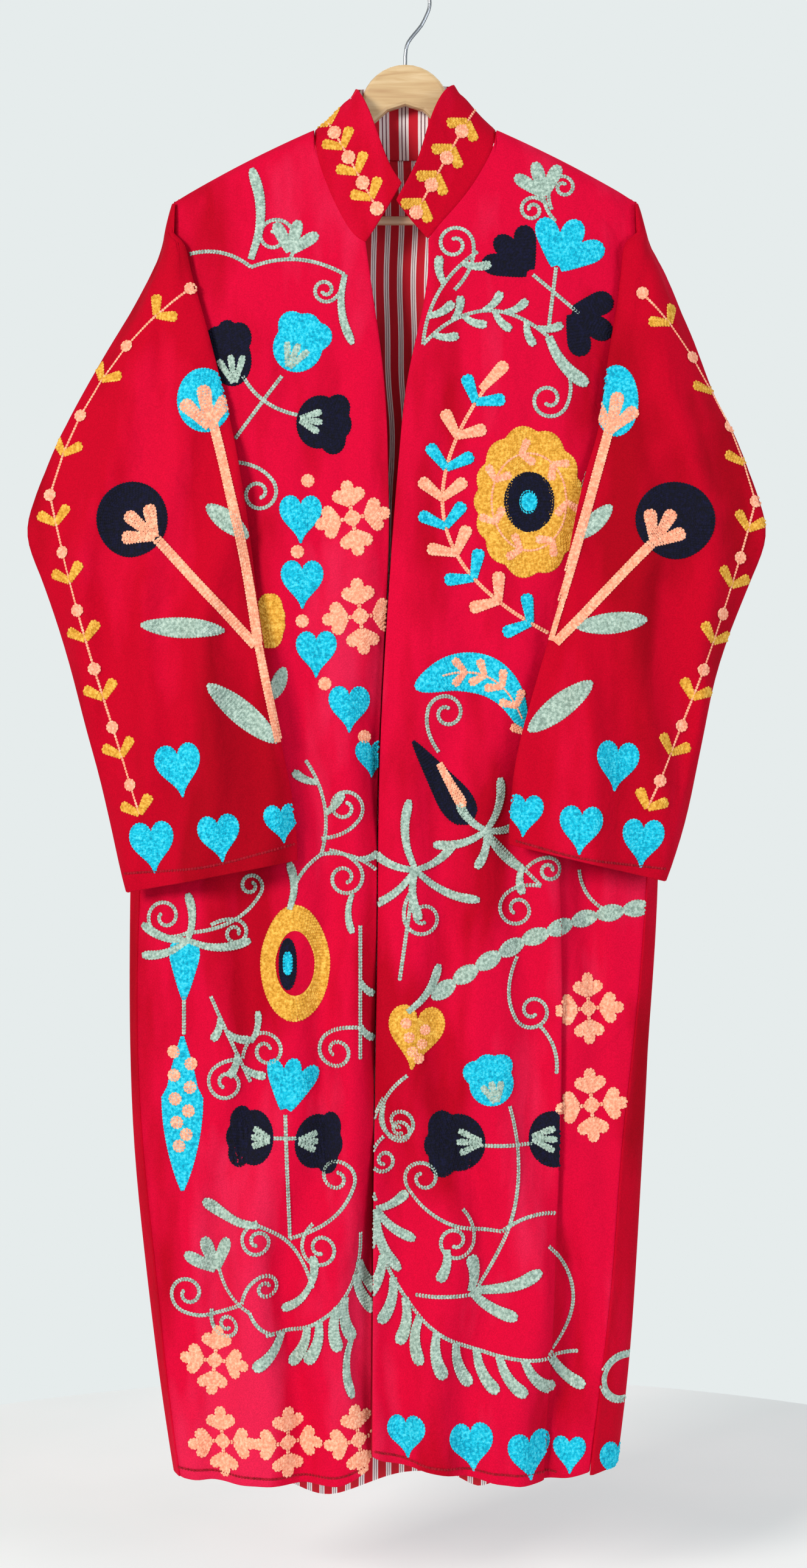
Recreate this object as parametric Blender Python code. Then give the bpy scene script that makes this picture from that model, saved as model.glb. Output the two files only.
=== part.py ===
"""A long velvet coat, open down the front, hanging on a wooden hanger.

Every size is in millimetres until a mesh is made, which is in metres. The origin is the inside top
of the hook, +Z is up, and the coat is seen from -Y, so the wearer's right side is at -X.
Each cloth piece is a thin wall round a grid of points: rows run down the piece, columns across it.
"""
import math

import bmesh
import bpy
import numpy as np

MM = 0.001

# Walls and the spaces between them
VELVET = 2.0
LINING = 1.0
SEAM = 0.5
LAP = 0.45
SIDE_SEAM = 0.9
ARMHOLE_SEAM = 1.5
SLEEVE_CLEAR = 3.2
HANGING_CLEAR = 3.5

RIGHT = -1
LEFT = 1

# Shoulder line: from the neck point down to the sleeve
NECK_X = 82.0
NECK_Z = -135.4
SHOULDER_X = 207.0
SHOULDER_Z = -199.7
SHOULDER_ROLL = 18.0
BACK_NECK_Z = -158.0
UNDERARM_Z = -437.0

# Hanger
WOOD_THICK = 10.0
WOOD_UNDER_CLOTH = 2.2
WOOD_ROUNDING = 3.2
WOOD_NECK_DROP = 12.0
DOME_R = 40.0
DOME_TOP_Z = -76.0
WIRE_R = 1.7
HOOK_R = 22.0
BORE_GAP = 0.3
STEM_DEPTH = 20.0
BAR_R = 4.0
BAR_Z = -216.0
BAR_END_X = 192.0

# Knife pleat of the left front
PLEAT_LAYER = 5.0
PLEAT_OVERLAP = 20.0
PLEAT_TIP = 6.0
PLEAT_U_IN = 0.29
PLEAT_U_OUT = 0.37
PLEAT_TIP_U = 0.018

# Columns of the back that are cut as a gore at each side.
GORE_COLUMNS = 5

# Distances below the top edge at which the body panels have their rows
BODY_ROWS = (0, 0.8, 3, 8, 18, 38, 66, 100, 140, 182, 208, 232, 244, 262, 300, 360, 440,
             530, 620, 710, 800, 900, 1000, 1100, 1170, 1205)


def monotone(xs, ys, x):
    """Value at x of a curve through (xs, ys) that never swings past its points."""
    x = min(max(x, xs[0]), xs[-1])
    k = int(min(np.searchsorted(xs, x, side="right") - 1, len(xs) - 2))

    def secant(i):
        return (ys[i + 1] - ys[i]) / (xs[i + 1] - xs[i])

    def tangent(i):
        if i == 0 or i == len(xs) - 1:
            return secant(min(i, len(xs) - 2))
        a, b = secant(i - 1), secant(i)
        return 0.0 if a * b <= 0 else 2 * a * b / (a + b)

    h = xs[k + 1] - xs[k]
    t = (x - xs[k]) / h
    return ((2 * t ** 3 - 3 * t ** 2 + 1) * ys[k] + (t ** 3 - 2 * t ** 2 + t) * h * tangent(k)
            + (3 * t ** 2 - 2 * t ** 3) * ys[k + 1] + (t ** 3 - t ** 2) * h * tangent(k + 1))


def ramp(start, end, value):
    """0 before start, 1 after end, and a smooth rise between them. Start may be above end."""
    t = min(max((value - start) / (end - start), 0.0), 1.0)
    return t * t * (3 - 2 * t)


def mix(a, b, t):
    return a + (b - a) * t


class Table:
    """Sizes in named columns, a row for each height or place, the first column being the key."""

    def __init__(self, names, *rows):
        self.names = names.split()
        self.rows = np.array(sorted(rows), dtype=float)

    def __call__(self, name, key):
        return monotone(self.rows[:, 0], self.rows[:, self.names.index(name)], key)


# Depth of the panels: at their sides and in their middles
DEPTH = Table(
    "z side_front front side_back back",
    (-100, -9.0, -13.0, 9.0, 16.0),
    (-160, -9.5, -16.0, 9.5, 19.0),
    (-200, -10.0, -20.0, 10.0, 21.0),
    (-260, -11.0, -27.0, 11.0, 23.0),
    (-340, -12.0, -32.0, 12.0, 25.0),
    (-437, -13.0, -35.0, 12.0, 27.0),
    (-600, -14.0, -38.0, 12.0, 29.0),
    (-830, -15.0, -41.0, 13.0, 31.0),
    (-1100, -17.0, -44.0, 14.0, 33.0),
    (-1345, -19.0, -46.0, 16.0, 35.0))

# Side seams and the outer folds of the back, and the free front edges
RIGHT_SIDE = Table(
    "z seam fold",
    (-200, -207.0, -207.0), (-437, -207.0, -211.0), (-520, -214.0, -227.0), (-620, -224.0, -239.0),
    (-740, -232.0, -245.5), (-826, -238.0, -247.5), (-906, -240.0, -247.5), (-990, -239.5, -247.0),
    (-1053, -234.4, -244.0), (-1135, -224.6, -235.5), (-1270, -210.6, -219.0), (-1345, -199.8, -207.0))
LEFT_SIDE = Table(
    "z seam fold",
    (-200, 207.0, 207.0), (-437, 207.0, 211.0), (-520, 212.0, 224.0), (-620, 216.0, 228.0),
    (-740, 218.0, 229.0), (-826, 215.0, 227.0), (-906, 209.0, 223.0), (-990, 200.0, 215.5),
    (-1053, 191.7, 213.0), (-1177, 185.2, 206.0), (-1239, 177.0, 202.0), (-1345, 164.0, 189.0))
RIGHT_EDGE = Table(
    "z x",
    (-240, -36.0), (-267, -32.4), (-298, -28.0), (-329, -23.2), (-381, -17.8), (-405, -16.7),
    (-507, -15.0), (-568, -17.8), (-623, -21.0), (-688, -23.2), (-729, -25.9), (-837, -26.0),
    (-1053, -29.7), (-1326, -31.3))
LEFT_EDGE = Table(
    "z x",
    (-240, 21.0), (-267, 21.0), (-298, 16.7), (-329, 9.7), (-381, -1.0), (-405, -2.7),
    (-496, -10.3), (-568, -15.0), (-623, -18.8), (-688, -21.0), (-729, -23.4), (-837, -23.6),
    (-1053, -27.2), (-1326, -28.8))

# Necklines of the fronts, from the neck point to the free edge
RIGHT_NECK = ((-82.0, NECK_Z), (-81.0, -152.0), (-76.5, -172.0), (-67.5, -196.0), (-56.5, -219.0),
              (-46.0, -236.0), (-36.0, -241.0))
LEFT_NECK = ((82.0, NECK_Z), (80.5, -150.0), (72.0, -170.0), (60.0, -190.0), (46.0, -208.0),
             (33.0, -222.0), (21.0, -238.0))

# Hems
RIGHT_HEM = Table("x z", (-210, -1338), (-190, -1341), (-60, -1341), (-42, -1334), (-31, -1326))
LEFT_HEM = Table("x z", (-31, -1315), (-17, -1322), (20, -1328), (62, -1337), (109, -1344),
                 (140, -1341), (172, -1334))
BACK_HEM = Table("x z", (-215, -1338), (-180, -1342), (-120, -1350), (-40, -1353), (90, -1347),
                 (150, -1341), (195, -1334))

# Pleat: where its outer fold is, and how far it is laid
PLEAT = Table("z x laid", (-700, 150.0, 0.0), (-780, 146.0, 0.35), (-860, 142.0, 0.8),
              (-930, 139.0, 1.0), (-1069, 136.6, 1.0), (-1218, 130.7, 1.0), (-1345, 123.0, 1.0))

# Large soft folds: which panel, x at top and bottom, height span, half width and lift
FOLDS = (
    ("right_front", -62.0, -48.0, -300.0, -1500.0, 13.0, 3.0),
    ("right_front", -150.0, -140.0, -560.0, -1500.0, 26.0, 4.0),
    ("left_front", 30.0, 18.0, -620.0, -1500.0, 20.0, 3.0),
    ("left_front", 92.0, 84.0, -480.0, -1500.0, 22.0, -3.0),
    ("back", -150.0, -165.0, -420.0, -1500.0, 30.0, 8.0),
    ("back", -62.0, -70.0, -300.0, -1500.0, 26.0, 6.0),
    ("back", 24.0, 30.0, -360.0, -1500.0, 30.0, 8.0),
    ("back", 118.0, 125.0, -420.0, -1500.0, 28.0, 7.0),
)

# Sleeves: inner fold and outer fold of the tube, and how deep it stands
RIGHT_SLEEVE = Table(
    "z inner outer",
    (-200, -207.0, -209.5), (-210, -206.0, -212.0), (-221, -205.0, -214.5), (-232, -202.0, -216.5),
    (-243, -196.0, -218.5), (-264, -192.2, -226.8), (-286, -186.0, -237.6), (-308, -179.0, -250.0),
    (-329, -173.5, -263.5), (-351, -168.0, -275.0), (-372, -162.5, -286.7), (-413, -152.8, -307.0),
    (-437, -148.0, -317.5), (-474, -142.0, -331.0), (-502, -138.0, -338.0), (-520, -135.8, -331.0),
    (-545, -133.0, -320.0), (-603, -125.3, -301.0), (-672, -111.8, -281.5), (-713, -106.4, -270.0),
    (-744, -98.0, -262.5), (-820, -95.0, -242.5))
LEFT_SLEEVE = Table(
    "z inner outer",
    (-200, 207.0, 209.0), (-210, 206.0, 212.0), (-221, 204.0, 214.5), (-232, 200.0, 217.5),
    (-243, 195.0, 221.0), (-264, 193.0, 233.0), (-286, 191.0, 241.5), (-308, 187.5, 250.0),
    (-329, 183.0, 259.5), (-351, 179.0, 268.0), (-372, 177.0, 273.5), (-413, 171.5, 294.5),
    (-437, 163.0, 303.0), (-474, 153.5, 315.5), (-502, 147.5, 322.3), (-520, 144.0, 318.0),
    (-545, 141.0, 303.5), (-603, 125.3, 282.0), (-672, 104.5, 262.0), (-713, 97.0, 257.5),
    (-744, 94.0, 251.5), (-820, 90.7, 224.6))
SLEEVE_DEPTH = Table(
    "z thick outer_y",
    (-200, 1.0, -2.0), (-230, 3.0, -3.0), (-260, 6.0, -4.0), (-330, 12.0, -7.0), (-437, 20.0, -14.0),
    (-520, 24.0, -24.0), (-640, 26.0, -27.0), (-820, 24.0, -28.0))
SLEEVE_ROWS = (-201, -204.5, -210, -218, -227, -234, -241, -252, -270, -300, -335, -372, -405,
               -424, -443, -472, -502, -535, -585, -645, -705, -755, -805)
CUFFS = {RIGHT: (-789.0, -818.0), LEFT: (-775.0, -808.0)}
CUFF_TILT_FROM = -640.0

# Free edge of the collar, by the share of the neck seam, from the right end to the left end
COLLAR = Table(
    "share x y z",
    (0.00, -3.8, -34.0, -190.0), (0.10, -15.0, -33.0, -173.0), (0.19, -27.0, -29.0, -139.0),
    (0.26, -39.5, -21.0, -106.0), (0.31, -45.5, -4.0, -98.0), (0.36, -44.0, 11.0, -96.0),
    (0.42, -30.0, 17.0, -93.0), (0.50, -1.0, 19.0, -91.0), (0.58, 28.0, 17.0, -91.0),
    (0.64, 43.0, 11.0, -93.0), (0.69, 45.5, -4.0, -95.0), (0.75, 36.5, -21.0, -102.0),
    (0.83, 22.5, -29.0, -131.0), (0.91, 14.0, -33.0, -164.0), (1.00, -7.6, -34.0, -205.0))
COLLAR_ROWS = (0.0, 0.25, 0.55, 0.85, 1.0)
COLLAR_BULGE = 3.0
COLLAR_LINING_SPAN = (0.27, 0.73)

COLOURS = {
    "velvet": (0.60, 0.0, 0.014, 1.0),
    "striped_cotton": (0.42, 0.02, 0.04, 1.0),
    "pale_wood": (0.63, 0.45, 0.26, 1.0),
    "steel": (0.62, 0.63, 0.65, 1.0),
}


def shoulder_z(x):
    """Height of the shoulder line, which is carried on towards the middle of the neck."""
    slope = (NECK_Z - SHOULDER_Z) / (SHOULDER_X - NECK_X)
    hollow = 2.2 * math.sin(math.pi * min(max((abs(x) - NECK_X) / (SHOULDER_X - NECK_X), 0), 1))
    return NECK_Z - slope * (abs(x) - NECK_X) + hollow


def roll(x, z):
    """Share of its full depth that a panel has near the shoulder line, where it rolls over."""
    below = min(max(shoulder_z(x) - z, 0.0) / SHOULDER_ROLL, 1.0)
    return math.sqrt(max(1 - (1 - below) ** 2, 0.0))


def fold_lift(panel, x, z):
    """Lift of the large soft folds of a panel."""
    lift = 0.0
    for name, x_top, x_bottom, z_top, z_bottom, half_width, height in FOLDS:
        if name == panel and z < z_top:
            share = (z - z_top) / (z_bottom - z_top)
            across = (x - mix(x_top, x_bottom, share)) / half_width
            lift += height * ramp(0.0, 0.45, share) * math.exp(-across * across)
    return lift


def side_table(side):
    return RIGHT_SIDE if side == RIGHT else LEFT_SIDE


def edge_x(side, z):
    return (RIGHT_EDGE if side == RIGHT else LEFT_EDGE)("x", z)


def front_y(side, x, z):
    """Depth of a front panel."""
    seam = side_table(side)("seam", z)
    edge = edge_x(side, z)
    share = min(max((x - seam) / (edge - seam), 0.0), 1.0)
    crown = 1 - (1 - min(share / 0.55, 1.0)) ** 2
    y = mix(DEPTH("side_front", z), DEPTH("front", z), crown)
    y -= fold_lift("right_front" if side == RIGHT else "left_front", x, z)
    rolled = ramp(11.0, 0.0, abs(x - edge)) * ramp(-240, -300, z)
    return min(y * roll(x, z), -SEAM / 2) + 2.6 * rolled


def corner(z):
    """1 round the underarm, where the back turns forward as a side wall, and 0 away from it."""
    return ramp(-392, -428, z) * (1 - ramp(-470, -545, z))


def front_columns(side):
    """Shares of the way from side seam to free edge: at the neck, and evenly spread lower down."""
    neck = RIGHT_NECK if side == RIGHT else LEFT_NECK
    edge = neck[-1][0]
    seam = SHOULDER_X * side
    if side == RIGHT:
        plain = list(np.linspace(0.0, (neck[0][0] - seam) / (edge - seam), 10))[:-1]
    else:
        tips = [u + d for u in (PLEAT_U_IN, PLEAT_U_OUT) for d in (-PLEAT_TIP_U, 0.0, PLEAT_TIP_U)]
        plain = [0.0, 0.05, 0.11, 0.165, 0.22] + tips + [0.45, 0.52, 0.59]
    top = plain + [(x - seam) / (edge - seam) for x, _ in neck]
    first = top[len(plain)]
    even = plain + [mix(first, 1.0, t) for t in (0, 0.2, 0.4, 0.6, 0.8, 0.93, 1.0)]
    return top, even, len(plain)


def pleated(share, x, z, seam, edge):
    """Moves a column of the left front to its place in the knife pleat."""
    laid = PLEAT("laid", z)
    out_x = PLEAT("x", z)
    in_x = out_x - PLEAT_OVERLAP
    shares = [0.0, 0.08, PLEAT_U_IN - PLEAT_TIP_U, PLEAT_U_IN, PLEAT_U_IN + PLEAT_TIP_U,
              PLEAT_U_OUT - PLEAT_TIP_U, PLEAT_U_OUT, PLEAT_U_OUT + PLEAT_TIP_U, 1.0]
    places = [seam, seam - 0.2 * (seam - in_x), in_x + PLEAT_TIP, in_x, in_x + PLEAT_TIP,
              out_x - PLEAT_TIP, out_x, out_x - PLEAT_TIP, edge]
    layers = [0.0, 1.2, 2.0, 1.5, 1.0, 1.0, 0.5, 0.0, 0.0]
    folded = float(np.interp(share, shares, places))
    behind = float(np.interp(share, shares, layers)) * PLEAT_LAYER * min(1.0, 2.2 * laid)
    return mix(x, folded, laid), behind


def front_grid(side):
    """Points of a front panel: rows from its neck and shoulder to its hem."""
    top, even, first_neck = front_columns(side)
    neck = RIGHT_NECK if side == RIGHT else LEFT_NECK
    hem = RIGHT_HEM if side == RIGHT else LEFT_HEM
    table = side_table(side)
    grid = np.zeros((len(BODY_ROWS), len(top), 3))
    for j in range(len(top)):
        top_x = mix(SHOULDER_X * side, neck[-1][0], top[j])
        top_z = shoulder_z(top_x) if j < first_neck else neck[j - first_neck][1]
        bottom_x = mix(table("seam", -1340), edge_x(side, -1340), even[j])
        if side == LEFT:
            bottom_x = pleated(even[j], bottom_x, -1340, table("seam", -1340), edge_x(side, -1340))[0]
        bottom_z = hem("z", bottom_x)
        for i, below in enumerate(BODY_ROWS):
            z = mix(top_z, bottom_z, below / BODY_ROWS[-1])
            share = mix(top[j], even[j], ramp(-250, -420, z))
            seam, edge = table("seam", z), edge_x(side, z)
            x = mix(seam, edge, share)
            behind = 0.0
            if side == LEFT:
                x, behind = pleated(share, x, z, seam, edge)
            y = front_y(side, x, z) + behind
            inward = mix(SIDE_SEAM, 1.7, corner(z)) if j == 0 else 0.0
            grid[i, j] = (x - side * inward, y, z)
    return grid, first_neck


def back_y(x, z):
    """Depth of the back panel away from its side folds."""
    crown = 1 - (min(abs(x) / 240.0, 1.0)) ** 2.4
    y = mix(DEPTH("side_back", z), DEPTH("back", z), crown)
    y += fold_lift("back", x, z) * ramp(235, 190, abs(x))
    return max(y * roll(x, z), SEAM / 2)


def spline(points, counts):
    """A smooth curve through plan points, with a number of steps for each span between them."""
    pts = [np.array(p, dtype=float) for p in points]
    pts = [2 * pts[0] - pts[1]] + pts + [2 * pts[-1] - pts[-2]]
    curve = []
    for k, count in enumerate(counts):
        p0, p1, p2, p3 = pts[k:k + 4]
        t0 = 0.0
        t1 = t0 + max(np.linalg.norm(p1 - p0), 1e-6) ** 0.5
        t2 = t1 + max(np.linalg.norm(p2 - p1), 1e-6) ** 0.5
        t3 = t2 + max(np.linalg.norm(p3 - p2), 1e-6) ** 0.5
        for step in range(count):
            t = mix(t1, t2, step / count)
            a1 = mix(p0, p1, (t - t0) / (t1 - t0))
            a2 = mix(p1, p2, (t - t1) / (t2 - t1))
            a3 = mix(p2, p3, (t - t2) / (t3 - t2))
            b1 = mix(a1, a2, (t - t0) / (t2 - t0))
            b2 = mix(a2, a3, (t - t1) / (t3 - t1))
            curve.append(mix(b1, b2, (t - t1) / (t2 - t1)))
    curve.append(pts[-2])
    return curve


def armhole_back_y(z):
    """Depth of the back edge of the armhole, which comes forward to the side seam at its foot."""
    return mix(DEPTH("side_back", z), DEPTH("side_front", z), ramp(-385, UNDERARM_Z, z))


def back_side(side, z):
    """Plan points of the back's side: its seam, its outer fold and where the flat back starts."""
    seam, fold = side_table(side)("seam", z), side_table(side)("fold", z)
    wrapped = ramp(-385, UNDERARM_Z, z)
    seam_y = armhole_back_y(z) - corner(z)
    if z > -300:
        seam_y = max(seam_y * roll(seam, z), SEAM / 2)
    flat_y = back_y(seam - side * 18, z)
    outside = max(side * (fold - seam), 0.0)
    out_x = seam + side * (SEAM / 2) * (1 - corner(z))
    turn_x = mix(seam - side * 4.0, seam + side * outside, wrapped)
    turn_y = mix(back_y(seam - side * 4, z), mix(seam_y, flat_y, 0.5), wrapped)
    return (out_x, seam_y), (turn_x, turn_y), (seam - side * 18.0 + side * 0.5 * outside, flat_y)


def back_section(z):
    """Plan curve of the back at one height, from the right side seam round to the left one."""
    right = back_side(RIGHT, z)
    left = back_side(LEFT, z)
    neck_right = RIGHT_SIDE("seam", z) * NECK_X / SHOULDER_X
    neck_left = LEFT_SIDE("seam", z) * NECK_X / SHOULDER_X
    anchors = [right[0], right[1], right[2]]
    anchors += [(x, back_y(x, z)) for x in (-150.0, neck_right, 0.0, neck_left, 140.0)]
    anchors += [left[2], left[1], left[0]]
    curve = spline(anchors, (3, 3, 2, 3, 4, 4, 3, 2, 3, 3))
    for k in range(6, len(curve) - 6):
        curve[k] = np.array((curve[k][0], back_y(curve[k][0], z)))
    return curve


def back_grid():
    """Points of the back panel, and the range of its columns that ends at the neckline."""
    columns = len(back_section(-900.0))
    at_top = back_section(-200.0)
    at_hem = back_section(-1340.0)
    first, last = 11, 19
    grid = np.zeros((len(BODY_ROWS), columns, 3))
    for j in range(columns):
        x_top = at_top[j][0]
        if first <= j <= last:
            top_z = mix(BACK_NECK_Z, NECK_Z, min(abs(x_top) / NECK_X, 1.0) ** 2.5)
        else:
            top_z = shoulder_z(min(abs(x_top), SHOULDER_X))
        bottom_z = BACK_HEM("z", at_hem[j][0])
        for i, below in enumerate(BODY_ROWS):
            z = mix(top_z, bottom_z, below / BODY_ROWS[-1])
            x, y = back_section(z)[j]
            if z > -200.0:
                y = max(y, SEAM / 2)
            grid[i, j] = (x, y, z)
    return grid, first, last


def gore_grid(back, side):
    """The back's grid with the inner edge of one side gore drawn away from the back by a seam's gap."""
    inner = GORE_COLUMNS if side == RIGHT else -GORE_COLUMNS - 1
    grid = back.copy()
    away = grid[:, inner + side] - grid[:, inner]
    grid[:, inner] += away / np.linalg.norm(away, axis=1, keepdims=True) * SEAM
    return grid


def grid_normals(grid):
    """Unit normals of a grid, pointing to the side from which its columns run left to right."""
    down = np.gradient(grid, axis=0)
    across = np.gradient(grid, axis=1)
    normals = np.cross(across, down)
    return normals / np.linalg.norm(normals, axis=2, keepdims=True)


def sleeve_section(side, z, cuff_z):
    """Plan curve of a sleeve: seam, inner fold, front layer, outer fold, back layer, seam."""
    table = RIGHT_SLEEVE if side == RIGHT else LEFT_SLEEVE
    inner, outer = table("inner", z), table("outer", z)
    thick, outer_y = SLEEVE_DEPTH("thick", z), SLEEVE_DEPTH("outer_y", z)
    seam_x = SHOULDER_X * side
    lapped = VELVET + SLEEVE_CLEAR

    def under(x):
        """The nearest that the sleeve may come to the front panel behind it."""
        inside = min(side * x, side * side_table(side)("seam", z) - 1)
        return front_y(side, inside * side, z) - lapped

    def front(x):
        share = min(max((x - inner) / (outer - inner), 0.0), 1.0)
        return mix(under(x), outer_y - 2, ramp(0.55, 1.0, share)) - 5.0 - thick * math.sin(
            math.pi * min(share * 0.92 + 0.08, 1.0)) ** 0.7

    tip = min(6.0, 0.5 * abs(outer - inner))
    nose = min(12.0, 0.25 * abs(outer - inner))
    folded = ramp(-224, -242, z)
    closed = z < UNDERARM_Z
    if closed:
        share = mix((seam_x - inner) / (outer - inner), 0.5, ramp(UNDERARM_Z, -560, z))
        x = mix(inner, outer, share)
        y = under(x) - HANGING_CLEAR * ramp(UNDERARM_Z, -490, z)
        start, end = (x - side * 0.3, y), (x + side * 0.3, y)
    else:
        start = (seam_x + side * 0.3, under(seam_x))
        end_y = armhole_back_y(z) * (roll(seam_x, z) if z > -300 else 1.0)
        end_y = min(end_y, under(seam_x) + 40)
        end = (seam_x + side * (ARMHOLE_SEAM + 1.6 * ramp(-385, -420, z)), end_y)
    fold_pts = [(inner + side * tip, under(inner + side * tip) - 0.5), (inner, under(inner) - 3.2),
                (inner + side * tip, under(inner) - 5.8)]
    spread = [inner + (outer - inner) * t for t in (0.32, 0.6, 0.82)]
    front_pts = [(x, front(x)) for x in spread]
    outer_pts = [(outer - side * nose * 0.5, outer_y - 7.0), (outer, outer_y),
                 (outer - side * nose, outer_y + 4.0)]
    back_x = mix(end[0], outer, 0.5)
    rear = (back_x, mix(end[1], outer_y + 4.0, 0.5) + (0 if closed else 2.0))
    if closed:
        rear = (back_x, min(rear[1], under(back_x) - 1.5))
        outer_pts[2] = (outer_pts[2][0], min(outer_pts[2][1], under(outer_pts[2][0]) + 3.0))

    def cap(angle):
        """Point of the plain rounded cap that the sleeve has over the end of the shoulder."""
        turn = math.radians(angle)
        depth = start[1] if angle < 0 else end[1]
        return (seam_x + side * 0.3 + (outer - seam_x) * math.cos(turn), abs(depth) * math.sin(turn))

    caps = [cap(a) for a in (-84, -77, -69, -52, -34, -20, -9, 0, 14, 50)]
    laid = fold_pts + front_pts + outer_pts + [rear]
    middle = [tuple(mix(np.array(c), np.array(p), folded)) for c, p in zip(caps, laid)]
    return spline([start] + middle + [end], (2, 2, 2, 3, 3, 2, 2, 1, 2, 3, 2))


def sleeve_grid(side):
    """Points of a sleeve: rows from the shoulder down to the cuff, which slants."""
    inner_cuff, outer_cuff = CUFFS[side]
    middle = 0.5 * (inner_cuff + outer_cuff)
    table = RIGHT_SLEEVE if side == RIGHT else LEFT_SLEEVE
    rows = []
    for z in SLEEVE_ROWS:
        tilt = ramp(CUFF_TILT_FROM, SLEEVE_ROWS[-1], z)
        inner, outer = table("inner", z), table("outer", z)
        row = []
        for x, y in sleeve_section(side, z, middle):
            share = min(max((x - inner) / (outer - inner), 0.0), 1.0)
            slanted = z + tilt * (mix(inner_cuff, outer_cuff, share) - SLEEVE_ROWS[-1])
            row.append((x, y, slanted))
        rows.append(row)
    return np.array(rows)


def neck_seam(right, right_first, back, first, last, left, left_first):
    """Points of the neck seam from the right free edge round the back to the left free edge."""
    right_part = [right[0, j] for j in range(right.shape[1] - 1, right_first, -1)]
    back_part = [back[0, j] for j in range(first, last + 1)]
    left_part = [left[0, j] for j in range(left_first + 1, left.shape[1])]
    right_n = grid_normals(right)[0]
    back_n = grid_normals(back)[0]
    left_n = grid_normals(left)[0]
    normals = [right_n[j] for j in range(right.shape[1] - 1, right_first, -1)]
    normals += [-back_n[j] for j in range(first, last + 1)]
    normals += [left_n[j] for j in range(left_first + 1, left.shape[1])]
    return np.array(right_part + back_part + left_part), np.array(normals)


def collar_grid(seam, panel_normals):
    """Points of the collar: rows from the neck seam up to its free edge."""
    steps = np.linalg.norm(np.diff(seam, axis=0), axis=1)
    shares = np.concatenate(([0.0], np.cumsum(steps))) / steps.sum()
    along = np.gradient(seam, axis=0)
    columns = []
    for k, share in enumerate(shares):
        free = np.array([COLLAR(name, share) for name in ("x", "y", "z")])
        up = free - seam[k]
        length = np.linalg.norm(up)
        normal = np.cross(along[k], up)
        normal /= np.linalg.norm(normal)
        bend = math.acos(min(abs(float(normal @ panel_normals[k])), 1.0))
        lift = min(SEAM + 0.3 + VELVET * math.tan(bend / 2), 3.2)
        column = []
        for row in COLLAR_ROWS:
            point = seam[k] + up * mix(lift / length, 1.0, row)
            column.append(point + normal * COLLAR_BULGE * math.sin(math.pi * row))
        columns.append(column)
    return np.array(columns).transpose(1, 0, 2), shares


def clean_scene():
    for item in list(bpy.data.objects):
        bpy.data.objects.remove(item, do_unlink=True)


def material(name, roughness, metallic=0.0):
    """A material of the part, made once and then shared."""
    found = bpy.data.materials.get(name)
    if found:
        return found
    made = bpy.data.materials.new(name)
    made.use_nodes = True
    shader = made.node_tree.nodes["Principled BSDF"]
    shader.inputs["Base Color"].default_value = COLOURS[name]
    shader.inputs["Roughness"].default_value = roughness
    shader.inputs["Metallic"].default_value = metallic
    made.diffuse_color = COLOURS[name]
    return made


def add_object(name, mesh, finish):
    """Adds a mesh to the scene as one named piece."""
    piece = bpy.data.objects.new(name, mesh)
    bpy.context.scene.collection.objects.link(piece)
    mesh.materials.append(finish)
    mesh.shade_smooth()
    mesh.set_sharp_from_angle(angle=math.radians(50))
    return piece


def wall(name, grid, thickness, finish, shift=0.0, normals=None):
    """Makes a closed cloth wall of even thickness round a grid, shifted along its normals."""
    if normals is None:
        normals = grid_normals(grid)
    rows, columns = grid.shape[:2]
    outer = grid + normals * (shift + thickness / 2)
    inner = grid + normals * (shift - thickness / 2)
    work = bmesh.new()
    sheets = [[[work.verts.new(layer[i, j] * MM) for j in range(columns)] for i in range(rows)]
              for layer in (outer, inner)]
    front, back = sheets
    for i in range(rows - 1):
        for j in range(columns - 1):
            work.faces.new((front[i][j], front[i + 1][j], front[i + 1][j + 1], front[i][j + 1]))
            work.faces.new((back[i][j], back[i][j + 1], back[i + 1][j + 1], back[i + 1][j]))
    rim = [(0, j) for j in range(columns - 1)] + [(i, columns - 1) for i in range(rows - 1)]
    rim += [(rows - 1, j) for j in range(columns - 1, 0, -1)] + [(i, 0) for i in range(rows - 1, 0, -1)]
    for k, (i, j) in enumerate(rim):
        m, n = rim[(k + 1) % len(rim)]
        work.faces.new((front[i][j], front[m][n], back[m][n], back[i][j]))
    bmesh.ops.recalc_face_normals(work, faces=work.faces)
    mesh = bpy.data.meshes.new(name)
    work.to_mesh(mesh)
    work.free()
    return add_object(name, mesh, finish)


def hanger_outline():
    """Outline of the wooden hanger in x and z: half of it, mirrored."""
    centre_z = DOME_TOP_Z - DOME_R
    top = []
    for step in range(9):
        angle = math.radians(90 - step * 10)
        top.append((DOME_R * math.cos(angle), centre_z + DOME_R * math.sin(angle)))
    for x in (46.0, 60.0, 72.0, NECK_X, 96.0, 120.0, 145.0, 178.0, 196.0):
        top.append((x, shoulder_z(x) - WOOD_UNDER_CLOTH - WOOD_NECK_DROP * ramp(108.0, 66.0, x)))
    nose = [(202.5, -202.5), (204.0, -210.0), (203.0, -222.0), (198.0, -229.0), (188.0, -231.0)]
    under = [(179.0, -226.0), (170.0, -208.0), (120.0, -181.0), (70.0, -155.0), (45.0, -141.0),
             (30.0, -130.5), (16.0, -118.0), (0.0, -112.7)]
    half = top + nose + under
    return half + [(-x, z) for x, z in reversed(half[1:-1])]


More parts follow.
